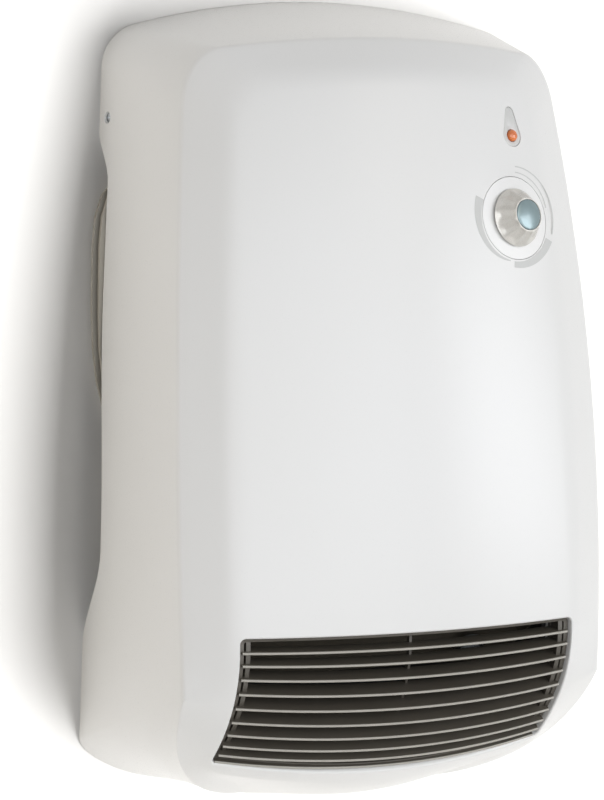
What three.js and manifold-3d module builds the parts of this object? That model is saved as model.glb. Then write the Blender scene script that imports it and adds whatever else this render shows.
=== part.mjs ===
// A bathroom wall fan heater: arched white casing that curls back under to a louvred outlet, side air intakes,
// a cross-flow fan, a heating element, a thermostat with its knob, and the wall bracket that it all hangs on.
// Millimetres. Z is up, the front faces -Y and the wall is the plane Y = 0. Heights in the constants and functions
// are measured from the casing's foot; the whole group is lowered, so that the bracket's middle is the origin.
import * as THREE from "three";
import { mergeVertices } from "three/addons/utils/BufferGeometryUtils.js";
import Module from "manifold-3d";

const wasm = await Module();
wasm.setup();

// Fits
const GAP = 0.3; // between pieces that touch
const RUNNING = 0.6; // between a turning piece and what it turns in

// Casing. A list of three is a value at mid height, its change to the top and its bow, over the casing's height.
const CASING_HEIGHT = 400;
const CASING_WALL = 2.4;
const RIM_DEPTH = 0.6; // the rim stands this far off the wall
const BACK_HALF = [119, -4.7, 0];
const BACK_ARCH = 13.4; // drop of the arched top at 100 mm from the middle
const BACK_CORNER = [98, 34]; // where the top corner starts: from the middle, and down from the top
const BACK_FOOT = [0.4, 6.8]; // height of the rim's foot in the middle, and its rise at 100 mm
const BACK_FOOT_CORNER = [81, 28.3];
const CREASE_HALF = [112, -7.3, -11.2];
const CREASE_DEPTH = [101.2, -28.2, -15.1];
const CREASE_DROP = [17.4, 9.15]; // top crease below the top: in the middle, and more at 100 mm
const CREASE_TOP_DEPTH = [80, 11.5];
const CREASE_CORNER = [82, 50];
const CREASE_FOOT_CORNER = [51, 70];
const CREASE_FOOT_DEPTH = 72; // that the crease heads for as it fades out round the foot corner
const CREASE_FILLET = 2.2;
const UNDERSIDE_DEPTH = 40;
const UNDERSIDE_RISE = 12.6;
const UNDERSIDE_LIFT = 4; // of the bend between the underside and the curl, over the underside
const FACE_HALF = [90, -5.8, -9.5];
const FACE_DROP = [34, 9];
const FACE_CORNER = [66, 62];
const FACE_FOOT = 19;
const FACE_FOOT_CORNER = [80, 64];
const FACE_FILLET = 7;
const FACE_DEPTH = [130.4, -25.7, -19.9];
const FACE_BULGE = [17.6, 6.3, 0]; // how far the face falls back at 100 mm from the middle
const CURL_START = 94; // height below which the face curls back
const CURL_RATE = 0.00755;
const CURL_BULGE = 0.02;
const INTAKE_CUT_TOP = 336;
const INTAKE_CUT_FOOT = 74;
const INTAKE_CUT_DEPTH = 18;

// Outlet
const OUTLET_HALF = 88.4;
const OUTLET_TOP = 100.6;
const OUTLET_FOOT = 24.4;
const OUTLET_CORNER = 2.5;
const OUTLET_LIP = 2.2; // thickness of the collar round the opening
const OUTLET_LIP_DEPTH = 9;
const LOUVRE_COUNT = 9;
const LOUVRE_START = 6.5; // the first louvre, below the opening's top
const LOUVRE_PITCH = 8.1; // down the face
const LOUVRE_FAN = 5; // degrees that each louvre leans more than the one over it
const LOUVRE_INSET = 1.6; // front edges behind the face
const LOUVRE_DEPTH = 12;
const LOUVRE_THICK = 1.3;
const GRILLE_BAR = 2.6; // the frame's side bars
const GRILLE_RAIL = 1.6; // its top and foot rails
const GRILLE_INSET = 3.4; // the frame's front behind the face
const GRILLE_DEPTH = 14.6; // the frame's back behind the face
const RIB_THICK = 2;
const RIB_DEPTH = 4; // of the ribs behind the louvres

// Controls
const KNOB_X = 62.3;
const KNOB_HEIGHT = 296.4;
const DIAL_RADIUS = 20.4;
const DIAL_FLANGE = 3; // wider than the dial, behind the casing's wall
const DIAL_FLANGE_THICK = 1.5;
const KNOB_RADIUS = 14.4;
const KNOB_TOP_RADIUS = 8.5;
const KNOB_TALL = 9.2;
const KNOB_LIFT = 0.6; // of the knob's base over the dial
const KNOB_FLUTES = 12;
const KNOB_FLUTE_DEPTH = 1;
const SPINDLE_RADIUS = 3;
const CAP_THICK = 1.2;
const CAP_RADIUS = 7.5;
const LAMP_X = 65.1;
const LAMP_HEIGHT = 336.2;
const LENS_RADIUS = 2.9;
const LAMP_PLATE_RADIUS = 5.4;
const LAMP_PLATE_TIP = 2.4;
const LAMP_PLATE_TALL = 14.2; // from the lens to the tip
const LAMP_PLATE_THICK = 1.2;
const LAMP_FLANGE_RADIUS = 5.9; // of the lamp body, behind the wall
const LAMP_SEAT = 0.03; // depth of the flange's flat seat, under a flat wall
const THERMOSTAT_SIZE = 30;
const THERMOSTAT_DEEP = 16;
const THERMOSTAT_BEHIND = 14; // its front behind the face
const BULB_LENGTH = 34;
const BULB_RADIUS = 3;
const SIDE_SCREW_HEIGHT = 341;
const SIDE_SCREW_DEPTH = 8;
const SIDE_SCREW_RADIUS = 1.6;
const SIDE_SCREW_HEAD = 2.5;
const SCREW_RECESS = 3.1;

// Rear housing and bracket
const BRACKET_HALF = 75;
const BRACKET_TALL = 70;
const BRACKET_HEIGHT = 300;
const BRACKET_SHEET = 1.5;
const BRACKET_HOOK = 9;
const WALL_SCREW_X = 55;
const WALL_SCREW_RADIUS = 2.4;
const WALL_SCREW_LENGTH = 34;
const REAR_SHEET = 2.4;
const REAR_HALF = 103;
const REAR_TOP = 380;
const REAR_FOOT = 24;
const REAR_WALL_DEPTH = 24;
const INTAKE_TOP = 312;
const INTAKE_FOOT = 176;
const INTAKE_REACH = 119.8; // of the ribs, from the middle
const INTAKE_RIBS = 4;
const INTAKE_PITCH = 6.4;
const INTAKE_RIB = 2;
const INTAKE_POSTS = 2;
const CABLE_X = -62;
const CABLE_HEIGHT = 66;
const CABLE_HOLE = 7;

// Fan
const FAN_DEPTH = 58;
const FAN_HEIGHT = 168;
const FAN_RADIUS = 30;
const FAN_BLADES = 20;
const FAN_BLADE = 1.1;
const FAN_SHAFT = 3;
const ROTOR_DISC = 2;
const ROTOR_END = 6; // between the rotor and each cheek
const BUSH_RADIUS = 8;
const CHEEK_INSET = 8.4; // the cheeks' insides, in from the outlet's ends
const CHEEK_SHEET = 2;
const SCROLL_SHEET = 1.8;
const DUCT_GAP = 3;

// Motor, outside the right cheek
const MOTOR_STACK = 12;
const MOTOR_WIDTH = 46;
const MOTOR_BORE = 12.4;
const MOTOR_PLATE = 1.5;

// Heating element, in its own frame: along the air, across it and along the heater's width
const ELEMENT_BACK = 47.2; // behind the face at the outlet's middle
const ELEMENT_LIFT = 30.5; // above the outlet's middle
const ELEMENT_TILT = 56; // degrees from level, of the air's way down
const ELEMENT_ACROSS = 52;
const ELEMENT_DEEP = 20;
const ELEMENT_SHEET = 1;
const RIBBON_ROWS = 3;
const RIBBON_WAVES = 31;
const RIBBON_THICK = 0.9;
const RIBBON_WIDE = 8;

// Facets. Points per half of a ring round the casing: along its top, corner, side, foot corner and foot.
const RING_OUTSIDE = [3, 5, 7, 8, 4];
const RING_INSIDE = [3, 4, 5, 6, 3];
const FACE_MIDDLE = 190; // height that the rings on the face shrink towards
const FACE_OUTSIDE = [0.9, 0.84, 0.76, 0.65, 0.48, 0.25];
const FACE_INSIDE = [0.88, 0.74, 0.48];

// Sizes that follow from the others
const CHEEK_HALF = OUTLET_HALF - CHEEK_INSET;
const FAN_LENGTH = 2 * (CHEEK_HALF - ROTOR_END);
const REAR_BACK = BRACKET_SHEET + GAP; // depth of the rear sheet's back
const THERMOSTAT_BACK = THERMOSTAT_BEHIND + GAP;
const MOTOR_NEAR = CHEEK_HALF + CHEEK_SHEET + 3; // from the middle to the motor's near bearing plate

// Basic solids

function solid(geometry) {
  const bare = geometry.clone();
  bare.deleteAttribute("normal");
  bare.deleteAttribute("uv");
  const merged = mergeVertices(bare, 1e-4);
  return new wasm.Manifold(
    new wasm.Mesh({
      numProp: 3,
      vertProperties: new Float32Array(merged.attributes.position.array),
      triVerts: new Uint32Array(merged.index.array),
    }),
  );
}

function join(...bodies) {
  return bodies.reduce((a, b) => a.add(b));
}

function cut(body, ...tools) {
  return tools.reduce((a, b) => a.subtract(b), body);
}

function box([x0, x1], [y0, y1], [z0, z1]) {
  const g = new THREE.BoxGeometry(x1 - x0, y1 - y0, z1 - z0);
  return solid(g.translate((x0 + x1) / 2, (y0 + y1) / 2, (z0 + z1) / 2));
}

// A cylinder or cone between two points.
function rod(from, to, radius, sides = 20, endRadius = radius) {
  const a = new THREE.Vector3(...from);
  const b = new THREE.Vector3(...to);
  const way = b.clone().sub(a);
  const g = new THREE.CylinderGeometry(endRadius, radius, way.length(), sides);
  const turn = new THREE.Quaternion().setFromUnitVectors(new THREE.Vector3(0, 1, 0), way.normalize());
  g.applyQuaternion(turn);
  return solid(g.translate(...a.add(b).multiplyScalar(0.5).toArray()));
}

function shape(points, holes = []) {
  const s = new THREE.Shape(points.map(([a, b]) => new THREE.Vector2(a, b)));
  s.holes = holes.map((h) => new THREE.Path(h.map(([a, b]) => new THREE.Vector2(a, b))));
  return s;
}

// A profile of [y, z] points run along X.
function alongX(points, x0, x1, holes = []) {
  const g = new THREE.ExtrudeGeometry(shape(points, holes), { depth: x1 - x0, bevelEnabled: false });
  const axes = new THREE.Matrix4().makeBasis(
    new THREE.Vector3(0, 1, 0),
    new THREE.Vector3(0, 0, 1),
    new THREE.Vector3(1, 0, 0),
  );
  return solid(g.applyMatrix4(axes).translate(x0, 0, 0));
}

// A profile of [x, z] points run along Y.
function alongY(points, y0, y1, holes = []) {
  const g = new THREE.ExtrudeGeometry(shape(points, holes), { depth: y1 - y0, bevelEnabled: false });
  return solid(g.rotateX(Math.PI / 2).translate(0, y1, 0));
}

// A closed surface through rings of points that run clockwise as seen from the front, from the back to the front.
function loft(rings, backPoint, frontPoint) {
  const count = rings[0].length;
  const position = [...rings.flat(), backPoint, frontPoint].flat();
  const index = [];
  const back = rings.length * count;
  for (let j = 0; j < count; j++) {
    const k = (j + 1) % count;
    index.push(back, j, k);
    for (let i = 0; i + 1 < rings.length; i++) {
      const a = i * count;
      const b = a + count;
      index.push(a + j, b + k, a + k, a + j, b + j, b + k);
    }
    const last = (rings.length - 1) * count;
    index.push(last + j, back + 1, last + k);
  }
  const g = new THREE.BufferGeometry();
  g.setAttribute("position", new THREE.Float32BufferAttribute(position, 3));
  return solid(g.setIndex(index));
}

// Turns a solid modelled about its own axes into place: its -Y points along the given normal.
function placed(body, at, normal) {
  const out = new THREE.Vector3(...normal).normalize();
  const turn = new THREE.Quaternion().setFromUnitVectors(new THREE.Vector3(0, -1, 0), out);
  const m = new THREE.Matrix4().compose(new THREE.Vector3(...at), turn, new THREE.Vector3(1, 1, 1));
  return body.transform(m.toArray());
}

// The casing's form

function level(z) {
  return (2 * z) / CASING_HEIGHT - 1;
}

function along([mid, slope, bow], z) {
  return mid + slope * level(z) + bow * level(z) ** 2;
}

// A point of the front face at x and at the height v where its middle line is, set in by the given depth.
function facePoint(x, v, inset = 0) {
  const below = Math.max(0, CURL_START - v);
  const depth = along(FACE_DEPTH, v) - CURL_RATE * below ** 2;
  const bulge = along(FACE_BULGE, Math.max(v, CURL_START)) + CURL_BULGE * below;
  const back = bulge * (x / 100) ** 2 + inset;
  const lean = Math.atan(2 * CURL_RATE * below);
  return [x, -depth + back * Math.cos(lean), v + back * Math.sin(lean)];
}

function faceNormal(x, v) {
  const at = (dx, dv) => new THREE.Vector3(...facePoint(x + dx, v + dv));
  const across = at(0.5, 0).sub(at(-0.5, 0));
  const up = at(0, 0.5).sub(at(0, -0.5));
  return across.cross(up).normalize().toArray();
}

function lerp(a, b, t) {
  return a.map((v, i) => v + (b[i] - v) * t);
}

function bend(a, q, b, t) {
  return lerp(lerp(a, q, t), lerp(q, b, t), t);
}

function step(from, to, length) {
  const d = to.map((v, i) => v - from[i]);
  const size = Math.hypot(...d);
  return from.map((v, i) => v + (d[i] * length) / size);
}

// A rounded corner between two edges, each given as a function, where it ends and which way it travels.
function corner(edgeA, a, stepA, edgeB, b, stepB, weight, count, depth) {
  const A = edgeA(a);
  const B = edgeB(b);
  const da = A.map((v, i) => v - edgeA(a - stepA)[i]);
  const db = B.map((v, i) => v - edgeB(b - stepB)[i]);
  const det = -da[0] * db[2] + db[0] * da[2];
  const s = (-(B[0] - A[0]) * db[2] + db[0] * (B[2] - A[2])) / det;
  const t = (da[0] * (B[2] - A[2]) - da[2] * (B[0] - A[0])) / det;
  const Q = A.map((v, i) => v + s * da[i]);
  Q[1] = depth ?? (A[1] + s * da[1] + B[1] + t * db[1]) / 2;
  const points = [];
  for (let i = 1; i < count; i++) {
    const u = i / count;
    const w = [(1 - u) ** 2, 2 * weight * u * (1 - u), u * u];
    const sum = w[0] + w[1] + w[2];
    points.push(A.map((v, k) => (w[0] * v + w[1] * Q[k] + w[2] * B[k]) / sum));
  }
  return points;
}

// One ring round the casing, from the middle of its top over its right side and back up its left.
function ring(counts, { top, topEnd, side, sideTop, sideFoot, foot, footEnd, weights, depth }) {
  const [nTop, nCorner, nSide, nFootCorner, nFoot] = counts;
  const half = [];
  for (let i = 0; i <= nTop; i++) half.push(top((topEnd * i) / nTop));
  half.push(...corner(top, topEnd, 0.5, side, sideTop, -0.5, weights[0], nCorner));
  for (let i = 0; i <= nSide; i++) half.push(side(sideTop + ((sideFoot - sideTop) * i) / nSide));
  half.push(...corner(side, sideFoot, 0.5, foot, footEnd, 0.5, weights[1], nFootCorner, depth));
  for (let i = 0; i <= nFoot; i++) half.push(foot(footEnd * (1 - i / nFoot)));
  const left = half.slice(1, -1).reverse();
  return [...half, ...left.map(([x, y, z]) => [-x, y, z])];
}

function rimRing(counts, inset, y) {
  const h = CASING_HEIGHT;
  return ring(counts, {
    top: (x) => [x, y, h - inset - BACK_ARCH * (x / 100) ** 2],
    topEnd: BACK_CORNER[0],
    side: (z) => [along(BACK_HALF, z) - inset, y, z],
    sideTop: h - BACK_CORNER[1],
    sideFoot: BACK_FOOT_CORNER[1],
    foot: (x) => [x, y, BACK_FOOT[0] + BACK_FOOT[1] * (x / 100) ** 2 + inset],
    footEnd: BACK_FOOT_CORNER[0],
    weights: [0.75, 0.5],
  });
}

function creaseRing(counts, inset) {
  const h = CASING_HEIGHT;
  return ring(counts, {
    top: (x) => [
      x,
      -CREASE_TOP_DEPTH[0] + CREASE_TOP_DEPTH[1] * (x / 100) ** 2 + 0.7 * inset,
      h - CREASE_DROP[0] - CREASE_DROP[1] * (x / 100) ** 2 - inset,
    ],
    topEnd: CREASE_CORNER[0],
    side: (z) => [along(CREASE_HALF, z) - inset, -along(CREASE_DEPTH, z) + 0.7 * inset, z],
    sideTop: h - CREASE_CORNER[1],
    sideFoot: CREASE_FOOT_CORNER[1],
    foot: (x) => [x, -UNDERSIDE_DEPTH, UNDERSIDE_RISE * (x / 100) ** 2 + inset],
    footEnd: CREASE_FOOT_CORNER[0],
    weights: [0.8, 0.88],
    depth: -CREASE_FOOT_DEPTH,
  });
}

function faceHalf(v) {
  return v > 100 ? along(FACE_HALF, v) : along(FACE_HALF, 100) + 0.02 * (100 - v);
}

function faceRing(counts) {
  const h = CASING_HEIGHT;
  return ring(counts, {
    top: (x) => [x, 0, h - FACE_DROP[0] - FACE_DROP[1] * (x / 100) ** 2],
    topEnd: FACE_CORNER[0],
    side: (v) => [faceHalf(v), 0, v],
    sideTop: h - FACE_CORNER[1],
    sideFoot: FACE_FOOT_CORNER[1],
    foot: (x) => [x, 0, FACE_FOOT],
    footEnd: FACE_FOOT_CORNER[0],
    weights: [0.75, 2.2],
  });
}

// How far each station belongs to the rounded foot: 0 at the creased sides and top, 1 along the foot.
function footShare(counts) {
  const [nTop, nCorner, nSide, nFootCorner, nFoot] = counts;
  const from = nTop + nCorner + (nSide * 7) / 9;
  const to = nTop + nCorner + nSide + nFootCorner - 1;
  const last = to + 1 + nFoot;
  const half = [];
  for (let j = 0; j <= last; j++) {
    const t = Math.min(1, Math.max(0, (j - from) / (to - from)));
    half.push(t * t * (3 - 2 * t));
  }
  return [...half, ...half.slice(1, -1).reverse()];
}

// The casing's outer surface as a solid, or one set in by the given amount, from the plane y forward.
function casingSolid(inset, y) {
  const [counts, faceRings] = inset > 0 ? [RING_INSIDE, FACE_INSIDE] : [RING_OUTSIDE, FACE_OUTSIDE];
  const rim = rimRing(counts, inset, y);
  const crease = creaseRing(counts, inset);
  const stations = faceRing(counts);
  const share = footShare(counts);
  const facing = ([x, , v], r, less = 0) => {
    const f = r - less / Math.hypot(x, v - FACE_MIDDLE);
    const squeeze = 1 - (0.35 * inset) / 90;
    return facePoint(x * f * squeeze, FACE_MIDDLE + (v - FACE_MIDDLE) * f, inset);
  };
  const rings = Array.from({ length: 9 }, () => []);
  rim.forEach((R, j) => {
    const C = crease[j];
    const S = facing(stations[j], 1);
    const d = facing(stations[j], 1, FACE_FILLET);
    const slope = (S[1] - d[1]) / Math.hypot(S[0] - d[0], S[2] - d[2]);
    const reach = Math.hypot(C[0] - S[0], C[2] - S[2]);
    const q1 = [C[0], (C[1] + R[1]) / 2, C[2]];
    const q2 = [C[0], Math.min(C[1] - 2, S[1] + 0.9 * slope * reach), C[2] + UNDERSIDE_LIFT];
    const round = [
      R,
      bend(R, q1, C, 0.5),
      bend(R, q1, C, 0.88),
      C,
      bend(C, q2, S, 0.15),
      bend(C, q2, S, 0.5),
      bend(C, q2, S, 0.78),
      S,
      d,
    ];
    const a = step(C, R, CREASE_FILLET);
    const b = step(C, S, CREASE_FILLET);
    const c = step(S, C, FACE_FILLET);
    const creased = [R, lerp(R, C, 0.5), a, bend(a, C, b, 0.5), b, lerp(C, S, 0.5), c, bend(c, S, d, 0.5), d];
    creased.forEach((p, i) => rings[i].push(lerp(p, round[i], share[j])));
  });
  for (const r of faceRings) rings.push(stations.map((s) => facing(s, r)));
  return loft(rings, [0, y, FACE_MIDDLE], facePoint(0, FACE_MIDDLE, inset));
}

// A rounded rectangle on the face, clockwise as seen from the front.
function faceOutline(half, foot, top, radius, inset) {
  const points = [];
  const [x, low, high] = [half - radius, foot + radius, top - radius];
  const round = (cx, cv, from) => {
    for (let i = 0; i <= 3; i++) {
      const a = from - (Math.PI / 2) * (i / 3);
      points.push(facePoint(cx + radius * Math.cos(a), cv + radius * Math.sin(a), inset));
    }
  };
  const edge = (from, to, count) => {
    for (let i = 1; i < count; i++) {
      const t = i / count;
      points.push(facePoint(from[0] + (to[0] - from[0]) * t, from[1] + (to[1] - from[1]) * t, inset));
    }
  };
  round(x, high, Math.PI / 2);
  edge([half, high], [half, low], 6);
  round(x, low, 0);
  edge([x, foot], [-x, foot], 8);
  round(-x, low, -Math.PI / 2);
  edge([-half, low], [-half, high], 6);
  round(-x, high, -Math.PI);
  edge([-x, top], [x, top], 8);
  return points;
}

// That rectangle as a prism through the face, from one inset to a deeper one.
function faceTube(half, foot, top, radius, front, back) {
  const middle = (foot + top) / 2;
  const rings = [back, front].map((inset) => faceOutline(half, foot, top, radius, inset));
  return loft(rings, facePoint(0, middle, back), facePoint(0, middle, front));
}

// Where the side wall of the casing is, as its distance from the middle, at a depth and a height.
function sideHalf(depth, z, inset = 0) {
  const share = depth / along(CREASE_DEPTH, z);
  return along(BACK_HALF, z) + (along(CREASE_HALF, z) - along(BACK_HALF, z)) * share - inset;
}

const knobAt = facePoint(KNOB_X, KNOB_HEIGHT);
const knobNormal = faceNormal(KNOB_X, KNOB_HEIGHT);
const lampAt = facePoint(LAMP_X, LAMP_HEIGHT);
const lampNormal = faceNormal(LAMP_X, LAMP_HEIGHT);

// A point out along the knob's axis.
function onKnobAxis(out) {
  return knobAt.map((v, i) => v + knobNormal[i] * out);
}

function onLampAxis(out) {
  return lampAt.map((v, i) => v + lampNormal[i] * out);
}

// The rear edge that the intake leaves: a smooth notch, as [y, z] points.
function intakeNotch() {
  const middle = (INTAKE_CUT_TOP + INTAKE_CUT_FOOT) / 2;
  const tall = INTAKE_CUT_TOP - INTAKE_CUT_FOOT;
  const points = [[20, INTAKE_CUT_FOOT - 6]];
  const steps = 18;
  for (let i = 0; i <= steps; i++) {
    const t = (1 - Math.cos((Math.PI * i) / steps)) / 2;
    const z = INTAKE_CUT_FOOT + tall * t;
    const rise = Math.min(1, t / 0.2);
    const fall = Math.min(1, (1 - t) / 0.1);
    const ease = (s) => s * s * (3 - 2 * s);
    const lean = 1 - 0.42 * ease(Math.min(1, Math.max(0, (z - middle + 80) / 130)));
    points.push([-INTAKE_CUT_DEPTH * ease(rise) * ease(fall) * lean * 1.06, z]);
  }
  points.push([20, INTAKE_CUT_TOP + 6]);
  return points.reverse();
}

// A drop: a round foot and a smaller round tip, with their common tangents, as [x, z] points about the foot.
function dropOutline(extra) {
  const foot = LAMP_PLATE_RADIUS + extra;
  const tip = LAMP_PLATE_TIP + extra;
  const rise = LAMP_PLATE_TALL - LAMP_PLATE_TIP;
  const lean = Math.asin((foot - tip) / rise);
  const points = [];
  const arc = (radius, z, from, to, count) => {
    for (let i = 0; i <= count; i++) {
      const a = from + ((to - from) * i) / count;
      points.push([radius * Math.cos(a), z + radius * Math.sin(a)]);
    }
  };
  arc(tip, rise, lean, Math.PI - lean, 8);
  arc(foot, 0, Math.PI - lean, 2 * Math.PI + lean, 16);
  return points;
}

function makeCasing() {
  const shell = cut(casingSolid(0, -RIM_DEPTH), casingSolid(CASING_WALL, 6));
  const [half, foot, top] = [OUTLET_HALF + OUTLET_LIP, OUTLET_FOOT - OUTLET_LIP, OUTLET_TOP + OUTLET_LIP];
  const block = faceTube(half, foot, top, OUTLET_CORNER + OUTLET_LIP, -6, OUTLET_LIP_DEPTH);
  const collar = block.intersect(casingSolid(CASING_WALL / 2, 6));
  const opening = faceTube(OUTLET_HALF, OUTLET_FOOT, OUTLET_TOP, OUTLET_CORNER, -30, OUTLET_LIP_DEPTH + 20);
  const dial = rod(onKnobAxis(-9), onKnobAxis(9), DIAL_RADIUS + GAP, 36);
  const plate = placed(alongY(dropOutline(GAP), -4, LAMP_PLATE_THICK + GAP), lampAt, lampNormal);
  const lampHole = rod(onLampAxis(-8), onLampAxis(8), LENS_RADIUS + GAP, 16);
  const lampSeat = rod(onLampAxis(-CASING_WALL - LAMP_SEAT), onLampAxis(-20), LAMP_FLANGE_RADIUS + GAP, 16);
  const notch = alongX(intakeNotch(), -200, 200);
  const screws = [-1, 1].map((side) => {
    const x = sideHalf(SIDE_SCREW_DEPTH, SIDE_SCREW_HEIGHT);
    const at = [side * x, -SIDE_SCREW_DEPTH, SIDE_SCREW_HEIGHT];
    const recess = rod([side * (x - 1.1), at[1], at[2]], [side * (x + 9), at[1], at[2]], SCREW_RECESS, 18);
    const hole = rod([side * (x - 9), at[1], at[2]], [side * (x + 1), at[1], at[2]], SIDE_SCREW_RADIUS + GAP, 14);
    return join(recess, hole);
  });
  return cut(join(shell, collar), opening, dial, plate, lampHole, lampSeat, notch, ...screws);
}

// One louvre: a flat blade, level at the top of the outlet and leaning more with each row down the curl, whose
// front edge follows the face.
function louvre(row, half) {
  const across = 8;
  const at = facePoint(0, OUTLET_TOP - LOUVRE_START - LOUVRE_PITCH * row, LOUVRE_INSET);
  const lean = THREE.MathUtils.degToRad(LOUVRE_FAN * row);
  const bulge = along(FACE_BULGE, CURL_START) * Math.cos(lean);
  const lift = LOUVRE_THICK / 2;
  const section = [
    [0, -lift],
    [0, lift],
    [LOUVRE_DEPTH, lift * 0.8],
    [LOUVRE_DEPTH, -lift * 0.8],
  ];
  const rings = [];
  for (let i = 0; i <= across; i++) {
    const x = -half + (2 * half * i) / across;
    const points = section.map(([deep, up]) => {
      const back = deep + (bulge / Math.cos(lean)) * (x / 100) ** 2;
      const y = at[1] + back * Math.cos(lean) - up * Math.sin(lean);
      return [x, y, at[2] + back * Math.sin(lean) + up * Math.cos(lean)];
    });
    rings.push(points);
  }
  return loft(rings, lerp(rings[0][0], rings[0][2], 0.5), lerp(rings[across][0], rings[across][2], 0.5));
}

// An upright rib behind the louvres.
function grilleRib(x) {
  const points = [];
  const [foot, top] = [OUTLET_FOOT + GAP + 0.4, OUTLET_TOP - GAP - 0.4];
  for (let i = 0; i <= 8; i++) points.push(facePoint(x, foot + ((top - foot) * i) / 8, GRILLE_DEPTH - RIB_DEPTH));
  for (let i = 8; i >= 0; i--) points.push(facePoint(x, foot + ((top - foot) * i) / 8, GRILLE_DEPTH));
  return alongX(points.map((p) => p.slice(1)), x - RIB_THICK / 2, x + RIB_THICK / 2);
}

function makeGrille() {
  const [half, foot, top] = [OUTLET_HALF - GAP, OUTLET_FOOT + GAP, OUTLET_TOP - GAP];
  const outer = faceTube(half, foot, top, OUTLET_CORNER - GAP, GRILLE_INSET, GRILLE_DEPTH);
  const inside = [half - GRILLE_BAR, foot + GRILLE_RAIL, top - GRILLE_RAIL];
  const bodies = [cut(outer, faceTube(...inside, OUTLET_CORNER / 2, GRILLE_INSET - 8, GRILLE_DEPTH + 8))];
  for (let i = 0; i < LOUVRE_COUNT; i++) bodies.push(louvre(i, half - GRILLE_BAR / 2));
  for (const x of [-1, 0, 1]) bodies.push(grilleRib(x * (half - GRILLE_BAR - RIB_THICK / 2 + 0.2)));
  return join(...bodies);
}

// Controls

// Flush with the casing, whose curve it follows, with a flange behind the wall.
function makeDialRing() {
  const back = casingSolid(CASING_WALL + GAP + DIAL_FLANGE_THICK, 6);
  const disc = rod(onKnobAxis(-9), onKnobAxis(9), DIAL_RADIUS, 36);
  const flange = rod(onKnobAxis(-9), onKnobAxis(9), DIAL_RADIUS + DIAL_FLANGE, 24);
  const bore = rod(onKnobAxis(-12), onKnobAxis(12), KNOB_RADIUS - 2, 24);
  const ring = join(disc.intersect(casingSolid(0, -RIM_DEPTH)), flange.intersect(casingSolid(CASING_WALL + GAP, 6)));
  return cut(ring, back, bore);
}

// The fluted grip: a cone whose outline waves in and out round its axis, hollow behind, with a boss for the spindle.
function makeKnob() {
  const count = KNOB_FLUTES * 4;
  const rows = [
    [0, 0.86, 0],
    [0.6, 1, 0.2],
    [2.2, 0.98, 0.6],
    [KNOB_TALL * 0.55, 0.5, 1],
    [KNOB_TALL - 1.4, 0.06, 0.55],
    [KNOB_TALL, -0.12, 0],
  ];
  const circle = (y, radius, wave) =>
    Array.from({ length: count }, (_, j) => {
      const a = (2 * Math.PI * j) / count;
      const r = radius - (wave * KNOB_FLUTE_DEPTH * (1 + Math.cos(KNOB_FLUTES * a))) / 2;
      return [r * Math.sin(a), y, r * Math.cos(a)];
    });
  const span = KNOB_RADIUS - KNOB_TOP_RADIUS;
  const rings = rows.map(([h, share, wave]) => circle(-KNOB_LIFT - h, KNOB_TOP_RADIUS + span * share, wave));
  const face = -KNOB_LIFT - KNOB_TALL;
  const grip = loft(rings, [0, -KNOB_LIFT, 0], [0, face, 0]);
  const seat = rod([0, face + CAP_THICK, 0], [0, face - 3, 0], CAP_RADIUS + GAP, 28);
  const boss = rod([0, CASING_WALL, 0], [0, -KNOB_LIFT - 2, 0], SPINDLE_RADIUS + 2.2, 20);
  const bore = rod([0, CASING_WALL + 2, 0], [0, face + CAP_THICK + 2, 0], SPINDLE_RADIUS + GAP, 20);
  return placed(cut(join(grip, boss), seat, bore), knobAt, knobNormal);
}

function makeCap() {
  const face = -KNOB_LIFT - KNOB_TALL;
  const back = face + CAP_THICK - GAP;
  const profile = [
    [0, back],
    [0, face - 0.9],
    [CAP_RADIUS * 0.45, face - 0.75],
    [CAP_RADIUS * 0.8, face - 0.4],
    [CAP_RADIUS, face],
    [CAP_RADIUS, back],
    [0, back],
  ].map(([r, y]) => new THREE.Vector2(r, y));
  return placed(solid(new THREE.LatheGeometry(profile, 24)), knobAt, knobNormal);
}

function makeSpindle() {
  return rod(onKnobAxis(-14), onKnobAxis(KNOB_LIFT + KNOB_TALL - CAP_THICK - 2 - GAP), SPINDLE_RADIUS, 16);
}

function makeThermostat() {
  const half = THERMOSTAT_SIZE / 2;
  const front = THERMOSTAT_BACK;
  const body = box([-half, half], [front, front + THERMOSTAT_DEEP], [-half, half]);
  const neck = rod([0, front + 1, 0], [0, front - 6, 0], SPINDLE_RADIUS + 2.4, 20);
  const bore = rod([0, front + 1, 0], [0, front - 8, 0], SPINDLE_RADIUS + RUNNING, 20);
  const tabs = [-8, 8].map((x) => box([x - 3, x + 3], [front + 4, front + 4.8], [half - 1, half + 8]));
  return placed(cut(join(body, neck, ...tabs), bore), knobAt, knobNormal);
}

function makeLampPlate() {
  const plate = alongY(dropOutline(0), GAP, LAMP_PLATE_THICK);
  const hole = rod([0, 4, 0], [0, -4, 0], LENS_RADIUS + GAP, 16);
  return placed(cut(plate, hole), lampAt, lampNormal);
}

function makeLens() {
  const profile = [
    [0, 6],
    [LENS_RADIUS, 6],
    [LENS_RADIUS, -0.4],
    [LENS_RADIUS * 0.8, -1.3],
    [LENS_RADIUS * 0.45, -1.8],
    [0, -2],
  ].map(([r, y]) => new THREE.Vector2(r, y));
  return placed(solid(new THREE.LatheGeometry(profile.reverse(), 16)), lampAt, lampNormal);
}

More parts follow.
